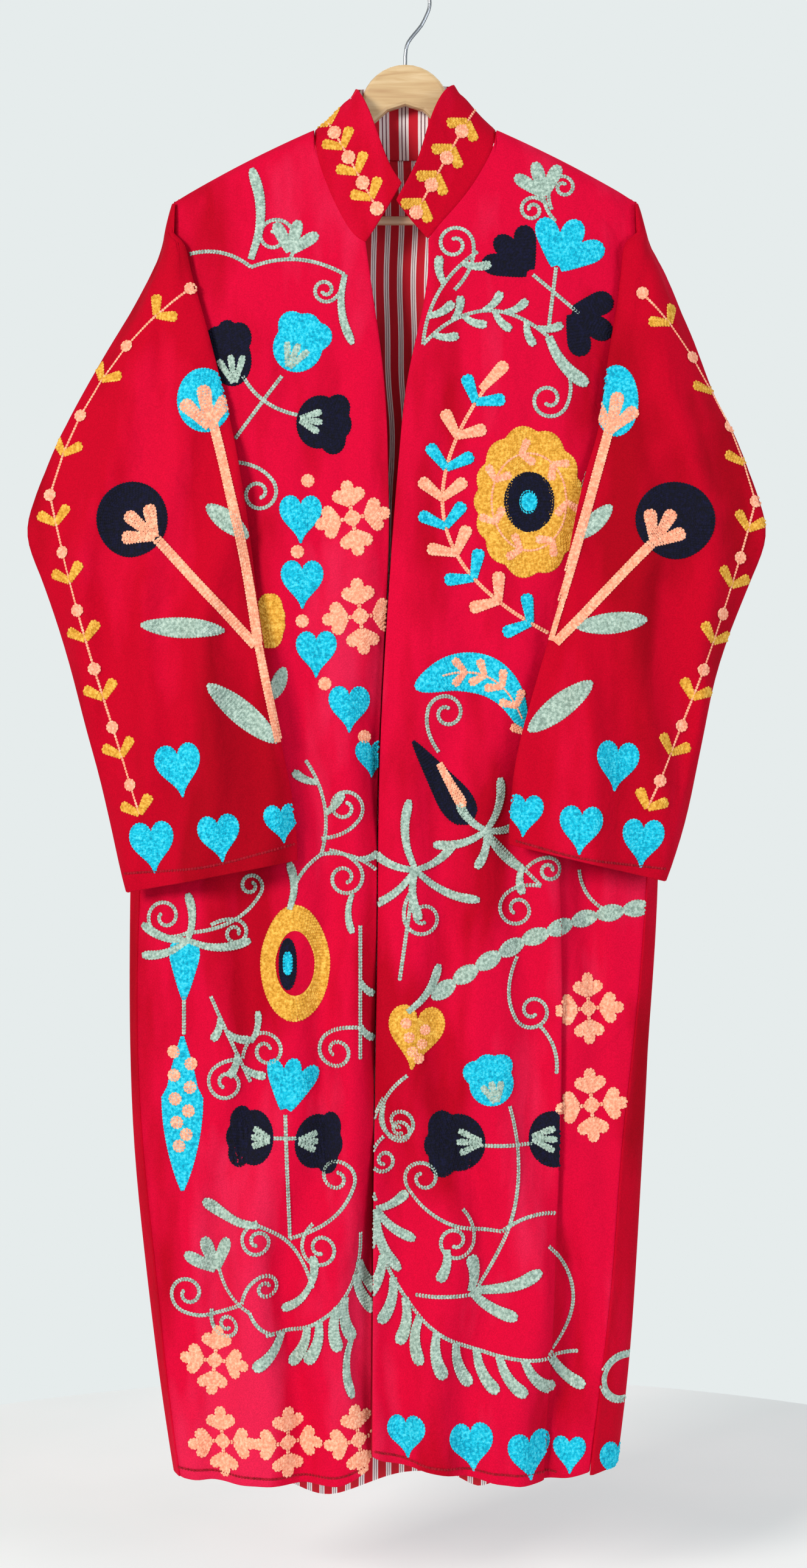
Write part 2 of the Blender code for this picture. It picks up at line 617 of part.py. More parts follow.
def cylinder(name, radius, start, end, sides=24):
    """A plain cylinder between two points, in millimetres."""
    start, end = np.array(start, dtype=float), np.array(end, dtype=float)
    axis = (end - start) / np.linalg.norm(end - start)
    across = np.cross(axis, (0.0, 1.0, 0.0))
    other = np.cross(axis, across)
    work = bmesh.new()
    rings = []
    for centre in (start, end):
        ring = []
        for k in range(sides):
            turn = 2 * math.pi * k / sides
            point = centre + radius * (across * math.cos(turn) + other * math.sin(turn))
            ring.append(work.verts.new(point * MM))
        rings.append(ring)
    for k in range(sides):
        m = (k + 1) % sides
        work.faces.new((rings[0][k], rings[0][m], rings[1][m], rings[1][k]))
    work.faces.new(rings[0])
    work.faces.new(rings[1])
    bmesh.ops.recalc_face_normals(work, faces=work.faces)
    mesh = bpy.data.meshes.new(name)
    work.to_mesh(mesh)
    work.free()
    return mesh


def cut(piece, mesh):
    """Cuts a hidden cutter out of a piece."""
    cutter = bpy.data.objects.new(mesh.name, mesh)
    bpy.context.scene.collection.objects.link(cutter)
    cutter.hide_render = True
    cutter.display_type = "WIRE"
    hole = piece.modifiers.new(mesh.name, "BOOLEAN")
    hole.operation = "DIFFERENCE"
    hole.object = cutter


def make_hanger():
    """The wooden body, its bar in two blind holes, and its steel hook in a bored hole."""
    outline = hanger_outline()
    work = bmesh.new()
    half = WOOD_THICK / 2 * MM
    face = work.faces.new([work.verts.new((x * MM, -half, z * MM)) for x, z in outline])
    moved = bmesh.ops.extrude_face_region(work, geom=[face])
    bmesh.ops.translate(work, vec=(0, 2 * half, 0),
                        verts=[v for v in moved["geom"] if isinstance(v, bmesh.types.BMVert)])
    bmesh.ops.recalc_face_normals(work, faces=work.faces)
    mesh = bpy.data.meshes.new("hanger_wood")
    work.to_mesh(mesh)
    work.free()
    wood = add_object("hanger_wood", mesh, material("pale_wood", 0.45))
    rounding = wood.modifiers.new("rounding", "BEVEL")
    rounding.width = WOOD_ROUNDING * MM
    rounding.segments = 2
    rounding.limit_method = "ANGLE"
    rounding.angle_limit = math.radians(60)
    hole_r = BAR_R + BORE_GAP
    reach = BAR_END_X + BORE_GAP
    cut(wood, cylinder("right_bar_hole", hole_r, (-reach, 0, BAR_Z), (-150, 0, BAR_Z)))
    cut(wood, cylinder("left_bar_hole", hole_r, (150, 0, BAR_Z), (reach, 0, BAR_Z)))
    bottom = DOME_TOP_Z - STEM_DEPTH - BORE_GAP
    cut(wood, cylinder("stem_hole", WIRE_R + BORE_GAP, (0, 0, bottom), (0, 0, DOME_TOP_Z + 5), 16))
    bar = cylinder("hanger_bar", BAR_R, (-BAR_END_X, 0, BAR_Z), (BAR_END_X, 0, BAR_Z))
    add_object("hanger_bar", bar, material("pale_wood", 0.45))
    make_hook()


def hook_path():
    """Middle line of the hook's wire: up the stem, out to the side, and over the rail."""
    centre_z = WIRE_R - HOOK_R
    points = [(0.0, DOME_TOP_Z - STEM_DEPTH), (0.0, DOME_TOP_Z), (0.6, -62.0), (2.8, -55.5),
              (8.0, -48.5), (14.5, -40.5)]
    for angle in range(-28, 170, 14):
        turn = math.radians(angle)
        points.append((HOOK_R * math.cos(turn), centre_z + HOOK_R * math.sin(turn)))
    return spline(points, [2] * (len(points) - 1))


def make_hook():
    """The steel hook, a bent wire."""
    data = bpy.data.curves.new("hanger_hook", "CURVE")
    data.dimensions = "3D"
    data.bevel_depth = WIRE_R * MM
    data.bevel_resolution = 3
    data.use_fill_caps = True
    path = hook_path()
    line = data.splines.new("POLY")
    line.points.add(len(path) - 1)
    for point, (x, z) in zip(line.points, path):
        point.co = (x * MM, 0.0, z * MM, 1.0)
    data.materials.append(material("steel", 0.25, 1.0))
    hook = bpy.data.objects.new("hanger_hook", data)
    bpy.context.scene.collection.objects.link(hook)


def make_coat():
    """All the cloth pieces."""
    velvet = material("velvet", 0.85)
    stripes = material("striped_cotton", 0.9)
    right, right_first = front_grid(RIGHT)
    left, left_first = front_grid(LEFT)
    back, first, last = back_grid()
    wall("right_front", right, VELVET, velvet)
    wall("left_front", left, VELVET, velvet)
    back_n = grid_normals(back)
    middle = slice(GORE_COLUMNS, -GORE_COLUMNS)
    wall("back", back[:, middle], VELVET, velvet, 0.0, back_n[:, middle])
    for name, side in (("right_gore", RIGHT), ("left_gore", LEFT)):
        columns = slice(0, GORE_COLUMNS + 1) if side == RIGHT else slice(-GORE_COLUMNS - 1, None)
        wall(name, gore_grid(back, side)[:, columns], VELVET, velvet, 0.0, back_n[:, columns])
    inward = (VELVET + LINING) / 2 + LAP
    towards_front = -1.0 if back_n[12, 15][1] > 0 else 1.0
    wall("back_lining", back[4:, 6:-6], LINING, stripes, inward * towards_front, back_n[4:, 6:-6])
    seam, normals = neck_seam(right, right_first, back, first, last, left, left_first)
    collar, shares = collar_grid(seam, normals)
    wall("collar", collar, VELVET, velvet)
    low, high = COLLAR_LINING_SPAN
    inside = [k for k, share in enumerate(shares) if low <= share <= high]
    span = slice(inside[0], inside[-1] + 1)
    collar_n = grid_normals(collar)[:, span]
    towards_neck = -1.0 if collar_n[2, len(inside) // 2][1] > 0 else 1.0
    wall("collar_lining", collar[:, span], LINING, stripes, inward * towards_neck, collar_n)
    wall("right_sleeve", sleeve_grid(RIGHT), VELVET, velvet)
    wall("left_sleeve", sleeve_grid(LEFT), VELVET, velvet)


clean_scene()
make_hanger()
make_coat()
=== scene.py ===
"""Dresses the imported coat: velvet shells, striped lining, chain-stitch embroidery, hanger and studio."""
import logging
import math
import random
from dataclasses import dataclass, field
from enum import Enum
from typing import Callable, Iterable, Sequence

import bmesh
import bpy
import numpy as np
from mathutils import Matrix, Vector
from mathutils.bvhtree import BVHTree


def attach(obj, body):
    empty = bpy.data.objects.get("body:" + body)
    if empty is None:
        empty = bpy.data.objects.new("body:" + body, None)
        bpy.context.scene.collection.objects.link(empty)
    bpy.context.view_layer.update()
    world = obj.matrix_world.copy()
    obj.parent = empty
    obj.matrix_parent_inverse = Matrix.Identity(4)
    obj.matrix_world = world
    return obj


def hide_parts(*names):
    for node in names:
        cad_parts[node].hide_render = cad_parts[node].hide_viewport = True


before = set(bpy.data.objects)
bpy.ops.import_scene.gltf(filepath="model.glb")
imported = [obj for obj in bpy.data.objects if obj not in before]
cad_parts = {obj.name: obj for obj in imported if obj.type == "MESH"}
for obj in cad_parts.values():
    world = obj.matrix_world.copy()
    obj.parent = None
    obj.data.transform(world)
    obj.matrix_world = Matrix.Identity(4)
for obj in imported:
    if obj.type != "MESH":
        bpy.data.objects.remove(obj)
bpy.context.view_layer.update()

LOG = logging.getLogger("coat")
MM = 0.001
BODY = "root"

# The embroidery is placed on a chart whose square is a little under 0.7 mm, counted from its top left.
CHART_SQUARE = 0.6952
CHART_LEFT = -359.6
CHART_TOP = -26.9
PLEAT_EDGE = 714.0

# Angles between faces: past the first an edge is a cut edge, up to the second two faces share a side.
CUT_EDGE = math.radians(55)
SAME_SIDE = math.radians(68)
EDGE_CREASE = 0.55

Point = tuple[float, float]
Point3 = tuple[float, float, float]


class Thread(Enum):
    """The colours of embroidery thread, named as a maker would."""

    TURQUOISE = "turquoise"
    NAVY = "navy"
    GOLD = "gold"
    PEACH = "peach"
    SAGE = "sage"
    CRIMSON = "crimson"


def linear(hex_colour: str) -> tuple[float, float, float, float]:
    """Turns an sRGB hex colour to the linear values that a shader takes.

    Args:
        hex_colour: Six hex digits, with or without a leading hash.

    Returns:
        Linear red, green, blue and an alpha of 1.
    """
    digits = hex_colour.lstrip("#")
    values = [int(digits[k:k + 2], 16) / 255 for k in (0, 2, 4)]
    red, green, blue = (v / 12.92 if v <= 0.04045 else ((v + 0.055) / 1.055) ** 2.4 for v in values)
    return red, green, blue, 1.0


def add_node(tree: bpy.types.NodeTree, kind: str, settings: dict | None = None,
             inputs: dict | None = None) -> bpy.types.Node:
    """Adds one node to a material with its settings, values and links.

    Args:
        tree: The node tree.
        kind: Blender's name for the type of node.
        settings: Properties of the node.
        inputs: Values or output sockets, by the input's name or number.

    Returns:
        The new node.
    """
    node = tree.nodes.new(kind)
    for key, value in (settings or {}).items():
        setattr(node, key, value)
    for key, value in (inputs or {}).items():
        if isinstance(value, bpy.types.NodeSocket):
            tree.links.new(value, node.inputs[key])
        else:
            node.inputs[key].default_value = value
    return node


def colour_ramp(tree: bpy.types.NodeTree, factor: bpy.types.NodeSocket,
                stops: Sequence[tuple[float, str]], mode: str = "LINEAR") -> bpy.types.NodeSocket:
    """Adds a colour ramp and gives its colour output.

    Args:
        tree: The node tree.
        factor: What drives the ramp.
        stops: Place and hex colour of each stop.
        mode: How colours run between stops.

    Returns:
        The ramp's colour output.
    """
    ramp = add_node(tree, "ShaderNodeValToRGB", inputs={0: factor})
    ramp.color_ramp.interpolation = mode
    elements = ramp.color_ramp.elements
    while len(elements) < len(stops):
        elements.new(0.5)
    for element, (place, colour) in zip(elements, stops):
        element.position = place
        element.color = linear(colour)
    return ramp.outputs["Color"]


def new_material(name: str) -> tuple[bpy.types.Material, bpy.types.NodeTree, bpy.types.Node]:
    """Makes an empty node material.

    Args:
        name: The material's name.

    Returns:
        The material, its node tree and its shader.
    """
    made = bpy.data.materials.new(name)
    made.use_nodes = True
    return made, made.node_tree, made.node_tree.nodes["Principled BSDF"]


@dataclass(frozen=True)
class CottonVelvet:
    """Cotton velvet, woven and cut to a short pile: deep red, with pinkish patches of painted sheen and
    darker patches of painted shade.
    """

    # The darkest and the lightest colours are painted shade and painted sheen: patches of pile that would
    # face away from the light or catch it.
    painted_shade: str = "#b2001e"
    body: str = "#d40434"
    painted_sheen: str = "#dc1e48"
    tint: str = "#ff1c48"
    roughness: float = 0.82
    sheen: float = 0.42
    pile_mm: float = 1.1

    def make(self, name: str) -> bpy.types.Material:
        """Makes the velvet, with soft patches of painted sheen and painted shade that run down the cloth."""
        made, tree, shader = new_material(name)
        place = add_node(tree, "ShaderNodeTexCoord").outputs["Object"]
        stretched = add_node(tree, "ShaderNodeMapping", inputs={0: place, "Scale": (9.0, 9.0, 2.6)})
        # Stretched noise lays the painted sheen and painted shade in patches that run down the cloth.
        patches = add_node(tree, "ShaderNodeTexNoise", inputs={
            "Vector": stretched.outputs[0], "Scale": 1.0, "Detail": 4.0, "Roughness": 0.55})
        colour = colour_ramp(tree, patches.outputs[0], (
            (0.36, self.painted_shade), (0.46, self.body), (0.53, self.body), (0.62, self.painted_sheen)))
        pile = add_node(tree, "ShaderNodeTexNoise", inputs={
            "Vector": place, "Scale": 1000.0 / self.pile_mm, "Detail": 2.0})
        speckle = add_node(tree, "ShaderNodeMix", {"data_type": "RGBA", "blend_type": "MULTIPLY"}, {
            0: 0.35, 6: colour, 7: colour_ramp(tree, pile.outputs[0], (
                (0.35, "#b4b4b4"), (0.65, "#ffffff")))})
        rumple = add_node(tree, "ShaderNodeTexNoise", inputs={
            "Vector": place, "Scale": 22.0, "Detail": 3.0, "Distortion": 0.8})
        soft = add_node(tree, "ShaderNodeBump", inputs={
            "Strength": 0.6, "Distance": 0.006, "Height": rumple.outputs[0]})
        fine = add_node(tree, "ShaderNodeBump", inputs={
            "Strength": 0.25, "Distance": 0.0004, "Height": pile.outputs[0], "Normal": soft.outputs[0]})
        tree.links.new(speckle.outputs[2], shader.inputs["Base Color"])
        tree.links.new(fine.outputs[0], shader.inputs["Normal"])
        shader.inputs["Roughness"].default_value = self.roughness
        shader.inputs["Specular IOR Level"].default_value = 0.06
        shader.inputs["Sheen Weight"].default_value = self.sheen
        shader.inputs["Sheen Roughness"].default_value = 0.38
        shader.inputs["Sheen Tint"].default_value = linear(self.tint)
        return made


@dataclass(frozen=True)
class StripedCotton:
    """Plain-woven cotton, yarn-dyed red with groups of three white bars parted by fine dark lines."""

    ground: str = "#d20a28"
    bar: str = "#fff6f6"
    line: str = "#6a1634"
    pitch_mm: float = 11.8
    group_share: float = 0.40
    bars: int = 3
    gap_share: float = 0.4
    first_bar: float = 0.25
    roughness: float = 0.88

    def make(self, name: str) -> bpy.types.Material:
        """Makes the striped cotton; its stripes run down the cloth, a pitch apart."""
        made, tree, shader = new_material(name)
        place = add_node(tree, "ShaderNodeTexCoord").outputs["Object"]
        across = add_node(tree, "ShaderNodeSeparateXYZ", inputs={0: place}).outputs["X"]
        wobble = add_node(tree, "ShaderNodeTexNoise", inputs={"Vector": place, "Scale": 6.0, "Detail": 1.0})
        moved = add_node(tree, "ShaderNodeMath", {"operation": "MULTIPLY_ADD"}, {
            0: wobble.outputs[0], 1: 0.016, 2: across})
        turns = add_node(tree, "ShaderNodeMath", {"operation": "MULTIPLY"}, {
            0: moved.outputs[0], 1: 1000.0 / self.pitch_mm})
        share = add_node(tree, "ShaderNodeMath", {"operation": "FRACT"}, {0: turns.outputs[0]})
        bar = self.group_share / (self.bars + (self.bars - 1) * self.gap_share)
        stops: list[tuple[float, str]] = [(0.0, self.ground)]
        start = self.first_bar
        for k in range(self.bars):
            stops.append((start, self.bar))
            start += bar
            stops.append((start, self.line if k < self.bars - 1 else self.ground))
            start += self.gap_share * bar
        colour = colour_ramp(tree, share.outputs[0], stops, "CONSTANT")
        weave = add_node(tree, "ShaderNodeTexNoise", inputs={"Vector": place, "Scale": 1400.0})
        bump = add_node(tree, "ShaderNodeBump", inputs={
            "Strength": 0.3, "Distance": 0.0003, "Height": weave.outputs[0]})
        tree.links.new(colour, shader.inputs["Base Color"])
        tree.links.new(bump.outputs[0], shader.inputs["Normal"])
        shader.inputs["Roughness"].default_value = self.roughness
        return made


@dataclass(frozen=True)
class EmbroideryWool:
    """Twisted embroidery wool: matt, slightly hairy, a little uneven in its dye."""

    shade: str
    body: str
    light: str
    roughness: float = 0.8
    strand_mm: float = 0.7

    def make(self, name: str) -> bpy.types.Material:
        """Makes the thread, with its dye uneven from stitch to stitch and a fine strand bump."""
        made, tree, shader = new_material(name)
        place = add_node(tree, "ShaderNodeTexCoord").outputs["Object"]
        dye = add_node(tree, "ShaderNodeTexNoise", inputs={"Vector": place, "Scale": 380.0, "Detail": 3.0})
        colour = colour_ramp(tree, dye.outputs[0], (
            (0.32, self.shade), (0.5, self.body), (0.70, self.light)))
        strands = add_node(tree, "ShaderNodeTexNoise", inputs={
            "Vector": place, "Scale": 1000.0 / self.strand_mm, "Detail": 1.0})
        bump = add_node(tree, "ShaderNodeBump", inputs={
            "Strength": 0.5, "Distance": 0.0003, "Height": strands.outputs[0]})
        tree.links.new(colour, shader.inputs["Base Color"])
        tree.links.new(bump.outputs[0], shader.inputs["Normal"])
        shader.inputs["Roughness"].default_value = self.roughness
        shader.inputs["Sheen Weight"].default_value = 0.06
        shader.inputs["Specular IOR Level"].default_value = 0.2
        return made


@dataclass(frozen=True)
class LacqueredWood:
    """Pale wood under clear lacquer: long faint grain and a soft gloss."""

    dark: str = "#b8946a"
    body: str = "#c8a97c"
    light: str = "#d6bb92"
    roughness: float = 0.36

    def make(self, name: str) -> bpy.types.Material:
        """Makes the wood, its grain running along the hanger."""
        made, tree, shader = new_material(name)
        place = add_node(tree, "ShaderNodeTexCoord").outputs["Object"]
        stretched = add_node(tree, "ShaderNodeMapping", inputs={0: place, "Scale": (14.0, 180.0, 180.0)})
        grain = add_node(tree, "ShaderNodeTexNoise", inputs={
            "Vector": stretched.outputs[0], "Scale": 1.0, "Detail": 6.0, "Distortion": 0.8})
        colour = colour_ramp(tree, grain.outputs[0], (
            (0.32, self.dark), (0.5, self.body), (0.68, self.light)))
        bump = add_node(tree, "ShaderNodeBump", inputs={
            "Strength": 0.08, "Distance": 0.0004, "Height": grain.outputs[0]})
        tree.links.new(colour, shader.inputs["Base Color"])
        tree.links.new(bump.outputs[0], shader.inputs["Normal"])
        shader.inputs["Roughness"].default_value = self.roughness
        shader.inputs["Coat Weight"].default_value = 0.25
        return made


@dataclass(frozen=True)
class PlatedSteel:
    """Bright zinc-plated steel wire, drawn and bent: mirror-like with faint drawing marks."""

    body: str = "#8f9398"
    roughness: float = 0.22

    def make(self, name: str) -> bpy.types.Material:
        """Makes the plated steel, a little rougher in places."""
        made, tree, shader = new_material(name)
        place = add_node(tree, "ShaderNodeTexCoord").outputs["Object"]
        marks = add_node(tree, "ShaderNodeTexNoise", inputs={"Vector": place, "Scale": 300.0, "Detail": 4.0})
        rough = add_node(tree, "ShaderNodeMapRange", inputs={
            "Value": marks.outputs[0], "To Min": self.roughness - 0.06, "To Max": self.roughness + 0.12})
        tree.links.new(rough.outputs[0], shader.inputs["Roughness"])
        shader.inputs["Base Color"].default_value = linear(self.body)
        shader.inputs["Metallic"].default_value = 1.0
        return made


@dataclass(frozen=True)
class StudioPaper:
    """Pale matt paper for the floor."""

    body: str = "#ffffff"

    def make(self, name: str) -> bpy.types.Material:
        """Makes the paper, with a faint unevenness."""
        made, tree, shader = new_material(name)
        place = add_node(tree, "ShaderNodeTexCoord").outputs["Object"]
        mottle = add_node(tree, "ShaderNodeTexNoise", inputs={"Vector": place, "Scale": 3.0})
        colour = colour_ramp(tree, mottle.outputs[0], ((0.3, self.body), (0.7, "#f6f9f9")))
        tree.links.new(colour, shader.inputs["Base Color"])
        shader.inputs["Roughness"].default_value = 0.9
        return made


WOOLS = {
    Thread.TURQUOISE: EmbroideryWool("#0090b0", "#02bcd8", "#4fd8ea"),
    Thread.NAVY: EmbroideryWool("#01010e", "#03041e", "#0a0c30"),
    Thread.GOLD: EmbroideryWool("#bd8420", "#dca23a", "#f2c65c"),
    Thread.PEACH: EmbroideryWool("#e58f70", "#f5a786", "#ffc9a8"),
    Thread.SAGE: EmbroideryWool("#7b9186", "#9fb7ab", "#c3d6ca"),
    Thread.CRIMSON: EmbroideryWool("#7c0012", "#96001a", "#ad0a26"),
}


@dataclass(frozen=True)
class Crease:
    """A soft trough or ridge pressed into a panel along a short line, in millimetres.

    Args:
        start: x and z of one end.
        end: x and z of the other end.
        half_width: How far it spreads to each side.
        lift: How far it stands towards the viewer; negative for a trough.
    """

    start: Point
    end: Point
    half_width: float
    lift: float

    def lifts(self, x: np.ndarray, z: np.ndarray) -> np.ndarray:
        """Lift of each point.

        Args:
            x: Places across, in millimetres.
            z: Heights, in millimetres.

        Returns:
            The lifts, in millimetres.
        """
        a, b = np.array(self.start), np.array(self.end)
        run = b - a
        length = float(np.hypot(*run))
        share = ((x - a[0]) * run[0] + (z - a[1]) * run[1]) / length ** 2
        across = np.abs((x - a[0]) * run[1] - (z - a[1]) * run[0]) / length
        ends = np.clip(np.minimum(share, 1 - share) * 4 + 0.4, 0, 1)
        ends = ends * ends * (3 - 2 * ends)
        return self.lift * ends * np.exp(-(across / self.half_width) ** 2)


@dataclass(frozen=True)
class Sway:
    """Broad folds that run down a panel and fade out at its top, as hung cloth has.

    Args:
        low: Height at which they are deepest, in millimetres.
        high: Height at which they have faded out.
        pitch: Distance from fold to fold.
        depth: Depth from crest to trough; negative to push the troughs in.
        lean: How far a fold wanders sideways as it falls, as a share of its fall.
        phase: Where the first fold lies, in folds.
        span: Where across the coat they start and end, so that seams still meet.
    """

    low: float
    high: float
    pitch: float
    depth: float
    lean: float = 0.0
    phase: float = 0.0
    span: tuple[float, float] = (-400.0, 400.0)

    def lifts(self, x: np.ndarray, z: np.ndarray) -> np.ndarray:
        """Lift of each point.

        Args:
            x: Places across, in millimetres.
            z: Heights, in millimetres.

        Returns:
            The lifts, in millimetres.
        """
        fade = np.clip((self.high - z) / (self.high - self.low), 0, 1)
        fade = fade * fade * (3 - 2 * fade)
        turns = (x + self.lean * (self.high - z)) / self.pitch + self.phase
        turns += 0.22 * np.sin(z / 97.0 + self.phase * 5) + 0.12 * np.sin(z / 41.0 + x / 60.0)
        wave = 0.5 + 0.5 * np.sin(2 * math.pi * turns)
        sides = np.clip(np.minimum(x - self.span[0], self.span[1] - x) / 30.0, 0, 1)
        return self.depth * fade * wave ** 1.6 * sides * sides * (3 - 2 * sides)


@dataclass
class ClothPiece:
    """One cut piece of cloth, dressed over its solid.

    Args:
        node: The solid's node.
        flat: Width and length of the cut, in metres; not used.
        area: Flat area of the cut, in square metres; not used.
        rests_on: Nodes that hold it up; not used.
        creases: Its creases on the viewer's side.
        is_lining: Whether it is lining cloth on both sides.
        piece: The shell, once made.
        tree: The shell's search tree, once made.
        levels: Rounds of smoothing.
        reach: How far cut edges are drawn out over the seams, in millimetres.
        sways: Its broad soft folds.
    """

    node: str
    flat: tuple[float, float]
    area: float
    rests_on: tuple[str, ...] = ("hanger_wood",)
    creases: tuple[Crease, ...] = ()
    is_lining: bool = False
    piece: bpy.types.Object | None = None
    tree: BVHTree | None = None
    levels: int = 2
    reach: float = 0.6
    sways: tuple[Sway, ...] = ()

    def build(self, outside: bpy.types.Material, inside: bpy.types.Material) -> bpy.types.Object:
        """Args:
            outside: Finish of the face side.
            inside: Finish of the lining side.

        Returns:
            The shell.
        """
        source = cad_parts[self.node]
        work = bmesh.new()
        work.from_mesh(source.data)
        bmesh.ops.remove_doubles(work, verts=work.verts, dist=1e-6)
        bmesh.ops.join_triangles(work, faces=work.faces, angle_face_threshold=math.radians(60),
                                 angle_shape_threshold=math.radians(180))
        work.normal_update()
        self.choose_sides(work)
        self.close_seams(work)
        mesh = bpy.data.meshes.new(self.node + "_cloth")
        mesh.materials.append(outside)
        mesh.materials.append(inside)
        work.to_mesh(mesh)
        work.free()
        piece = bpy.data.objects.new(self.node + "_cloth", mesh)
        bpy.context.scene.collection.objects.link(piece)
        smooth = piece.modifiers.new("smooth", "SUBSURF")
        smooth.levels = self.levels
        smooth.render_levels = self.levels
        held = bpy.context.evaluated_depsgraph_get()
        finished = bpy.data.meshes.new_from_object(piece.evaluated_get(held))
        piece.modifiers.clear()
        piece.data = finished
        self.crease(finished)
        finished.shade_smooth()
        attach(piece, BODY)
        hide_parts(self.node)
        list(self.rests_on)
        self.piece = piece
        self.tree = BVHTree.FromObject(piece, bpy.context.evaluated_depsgraph_get())
        LOG.info("%s: %d faces", piece.name, len(finished.polygons))
        return piece

    def close_seams(self, work: bmesh.types.BMesh) -> None:
        """Draws the cut edges out to meet their neighbours, and keeps them from rounding away.

        Args:
            work: The shell's coarse mesh.
        """
        creases = work.edges.layers.float.get("crease_edge") or work.edges.layers.float.new("crease_edge")
        sharp = {edge for edge in work.edges if edge.calc_face_angle(0.0) > CUT_EDGE}
        moves: dict[bmesh.types.BMVert, Vector] = {}
        for face in work.faces:
            corners = [edge for edge in face.edges if edge in sharp]
            if len(face.edges) == 4 and any(not set(a.verts) & set(b.verts)
                                            for k, a in enumerate(corners) for b in corners[k + 1:]):
                for vert in face.verts:
                    moves[vert] = moves.get(vert, Vector()) + face.normal
        for vert, way in moves.items():
            if way.length > 0.2:
                vert.co += way.normalized() * self.reach * MM
        for edge in sharp:
            edge[creases] = EDGE_CREASE

    def crease(self, mesh: bpy.types.Mesh) -> None:
        """Presses the creases into the shell along the viewing direction."""
        co = np.empty(len(mesh.vertices) * 3)
        mesh.vertices.foreach_get("co", co)
        co = co.reshape(-1, 3)
        total = np.zeros(len(co))
        for crease in (*self.creases, *self.sways):
            total += crease.lifts(co[:, 0] / MM, co[:, 2] / MM)
        co[:, 1] -= total * MM
        mesh.vertices.foreach_set("co", co.ravel())
        mesh.update()

    def choose_sides(self, work: bmesh.types.BMesh) -> None:
        """Gives the lining's finish to the layer that looks into the coat.

        Args:
            work: The shell's coarse mesh, whose two layers meet at sharp cut edges.
        """
        left = set(work.faces)
        layers: list[list[bmesh.types.BMFace]] = []
        while left:
            layer = [left.pop()]
            for face in layer:
                for edge in face.edges:
                    if edge.calc_face_angle(0.0) < SAME_SIDE:
                        for other in edge.link_faces:
                            if other in left:
                                left.remove(other)
                                layer.append(other)
            layers.append(layer)
        layers.sort(key=lambda faces: -sum(face.calc_area() for face in faces))
        for face in work.faces:
            face.material_index = 0
        for face in self.inner_layer(layers[:2]):
            face.material_index = 1

    def inner_layer(self, layers: Sequence[list[bmesh.types.BMFace]]) -> list[bmesh.types.BMFace]:
        """Finds the layer that looks into the coat."""
        def looks_in(layer: list[bmesh.types.BMFace]) -> float:
            """How far the layer faces the inside, from -1 to 1."""
            centres = np.array([face.calc_center_median() for face in layer])
            normals = np.array([face.normal for face in layer])
            return float(np.sum(normals * self.inward(centres), axis=1).mean())

        return max(layers, key=looks_in)

    def inward(self, centres: np.ndarray) -> np.ndarray:
        """Direction from each place to the inside of the coat."""
        inward = np.zeros_like(centres)
        inward[:, 1] = 1.0 if "front" in self.node else -1.0
        return inward


@dataclass
class BackPiece(ClothPiece):
    """The back, whose edges turn forward at its sides and whose hem sags where it shows."""

    # Height at which the sag starts and the fall over which it grows, in metres; then, in millimetres,
    # the middle, half width and drop of each stretch that sags.
    SAG_FROM = -1.22
    SAG_OVER = 0.11
    SAGS = ((-74, 40, 19), (71, 22, 16))

    def inward(self, centres: np.ndarray) -> np.ndarray:
        """Direction to the line down the middle of the coat, just in front of the back."""
        inward = np.zeros_like(centres)
        flat_x = np.clip(centres[:, 0], -0.17, 0.15)
        inward[:, 0] = flat_x - centres[:, 0]
        inward[:, 1] = 0.0 - centres[:, 1]
        return inward / np.maximum(np.linalg.norm(inward, axis=1, keepdims=True), 1e-6)

    def crease(self, mesh: bpy.types.Mesh) -> None:
        """Presses the folds and lets the hem sag where it shows under the fronts."""
        super().crease(mesh)
        for vert in mesh.vertices:
            low = min(max((self.SAG_FROM - vert.co.z) / self.SAG_OVER, 0.0), 1.0)
            sag = sum(drop * MM * math.exp(-((vert.co.x / MM - middle) / reach) ** 2)
                      for middle, reach, drop in self.SAGS)
            vert.co.z -= sag * low * low


@dataclass
class GorePiece(ClothPiece):
    """A gore at the coat's side, between the front and the back."""

    def inward(self, centres: np.ndarray) -> np.ndarray:
        """Direction to the coat's middle, a little behind the front."""
        inward = np.zeros_like(centres)
        side = 1.0 if "left" in self.node else -1.0
        inward[:, 0] = side * 0.16 - centres[:, 0]
        inward[:, 1] = -0.012 - centres[:, 1]
        return inward / np.maximum(np.linalg.norm(inward, axis=1, keepdims=True), 1e-6)


@dataclass
class SleevePiece(ClothPiece):
    """A sleeve, a flattened tube whose head is settled against the shoulder."""

    # Height at which the head starts and the rise over which it settles, in metres; then how far it drops
    # and moves in, in millimetres.
    HEAD_FROM = -0.245
    HEAD_OVER = 0.045
    DROP = 2.4
    MOVE_IN = 0.9

    def inner_layer(self, layers: Sequence[list[bmesh.types.BMFace]]) -> list[bmesh.types.BMFace]:
        """Finds the tube's inner layer, the smaller one."""
        return min(layers, key=lambda layer: sum(face.calc_area() for face in layer))

    def crease(self, mesh: bpy.types.Mesh) -> None:
        """Presses the creases and settles the head of the sleeve against the shoulder."""
        super().crease(mesh)
        for vert in mesh.vertices:
            near = min(max((vert.co.z - self.HEAD_FROM) / self.HEAD_OVER, 0.0), 1.0)
            vert.co.z -= self.DROP * MM * near
            vert.co.x -= math.copysign(self.MOVE_IN * MM * near, vert.co.x)


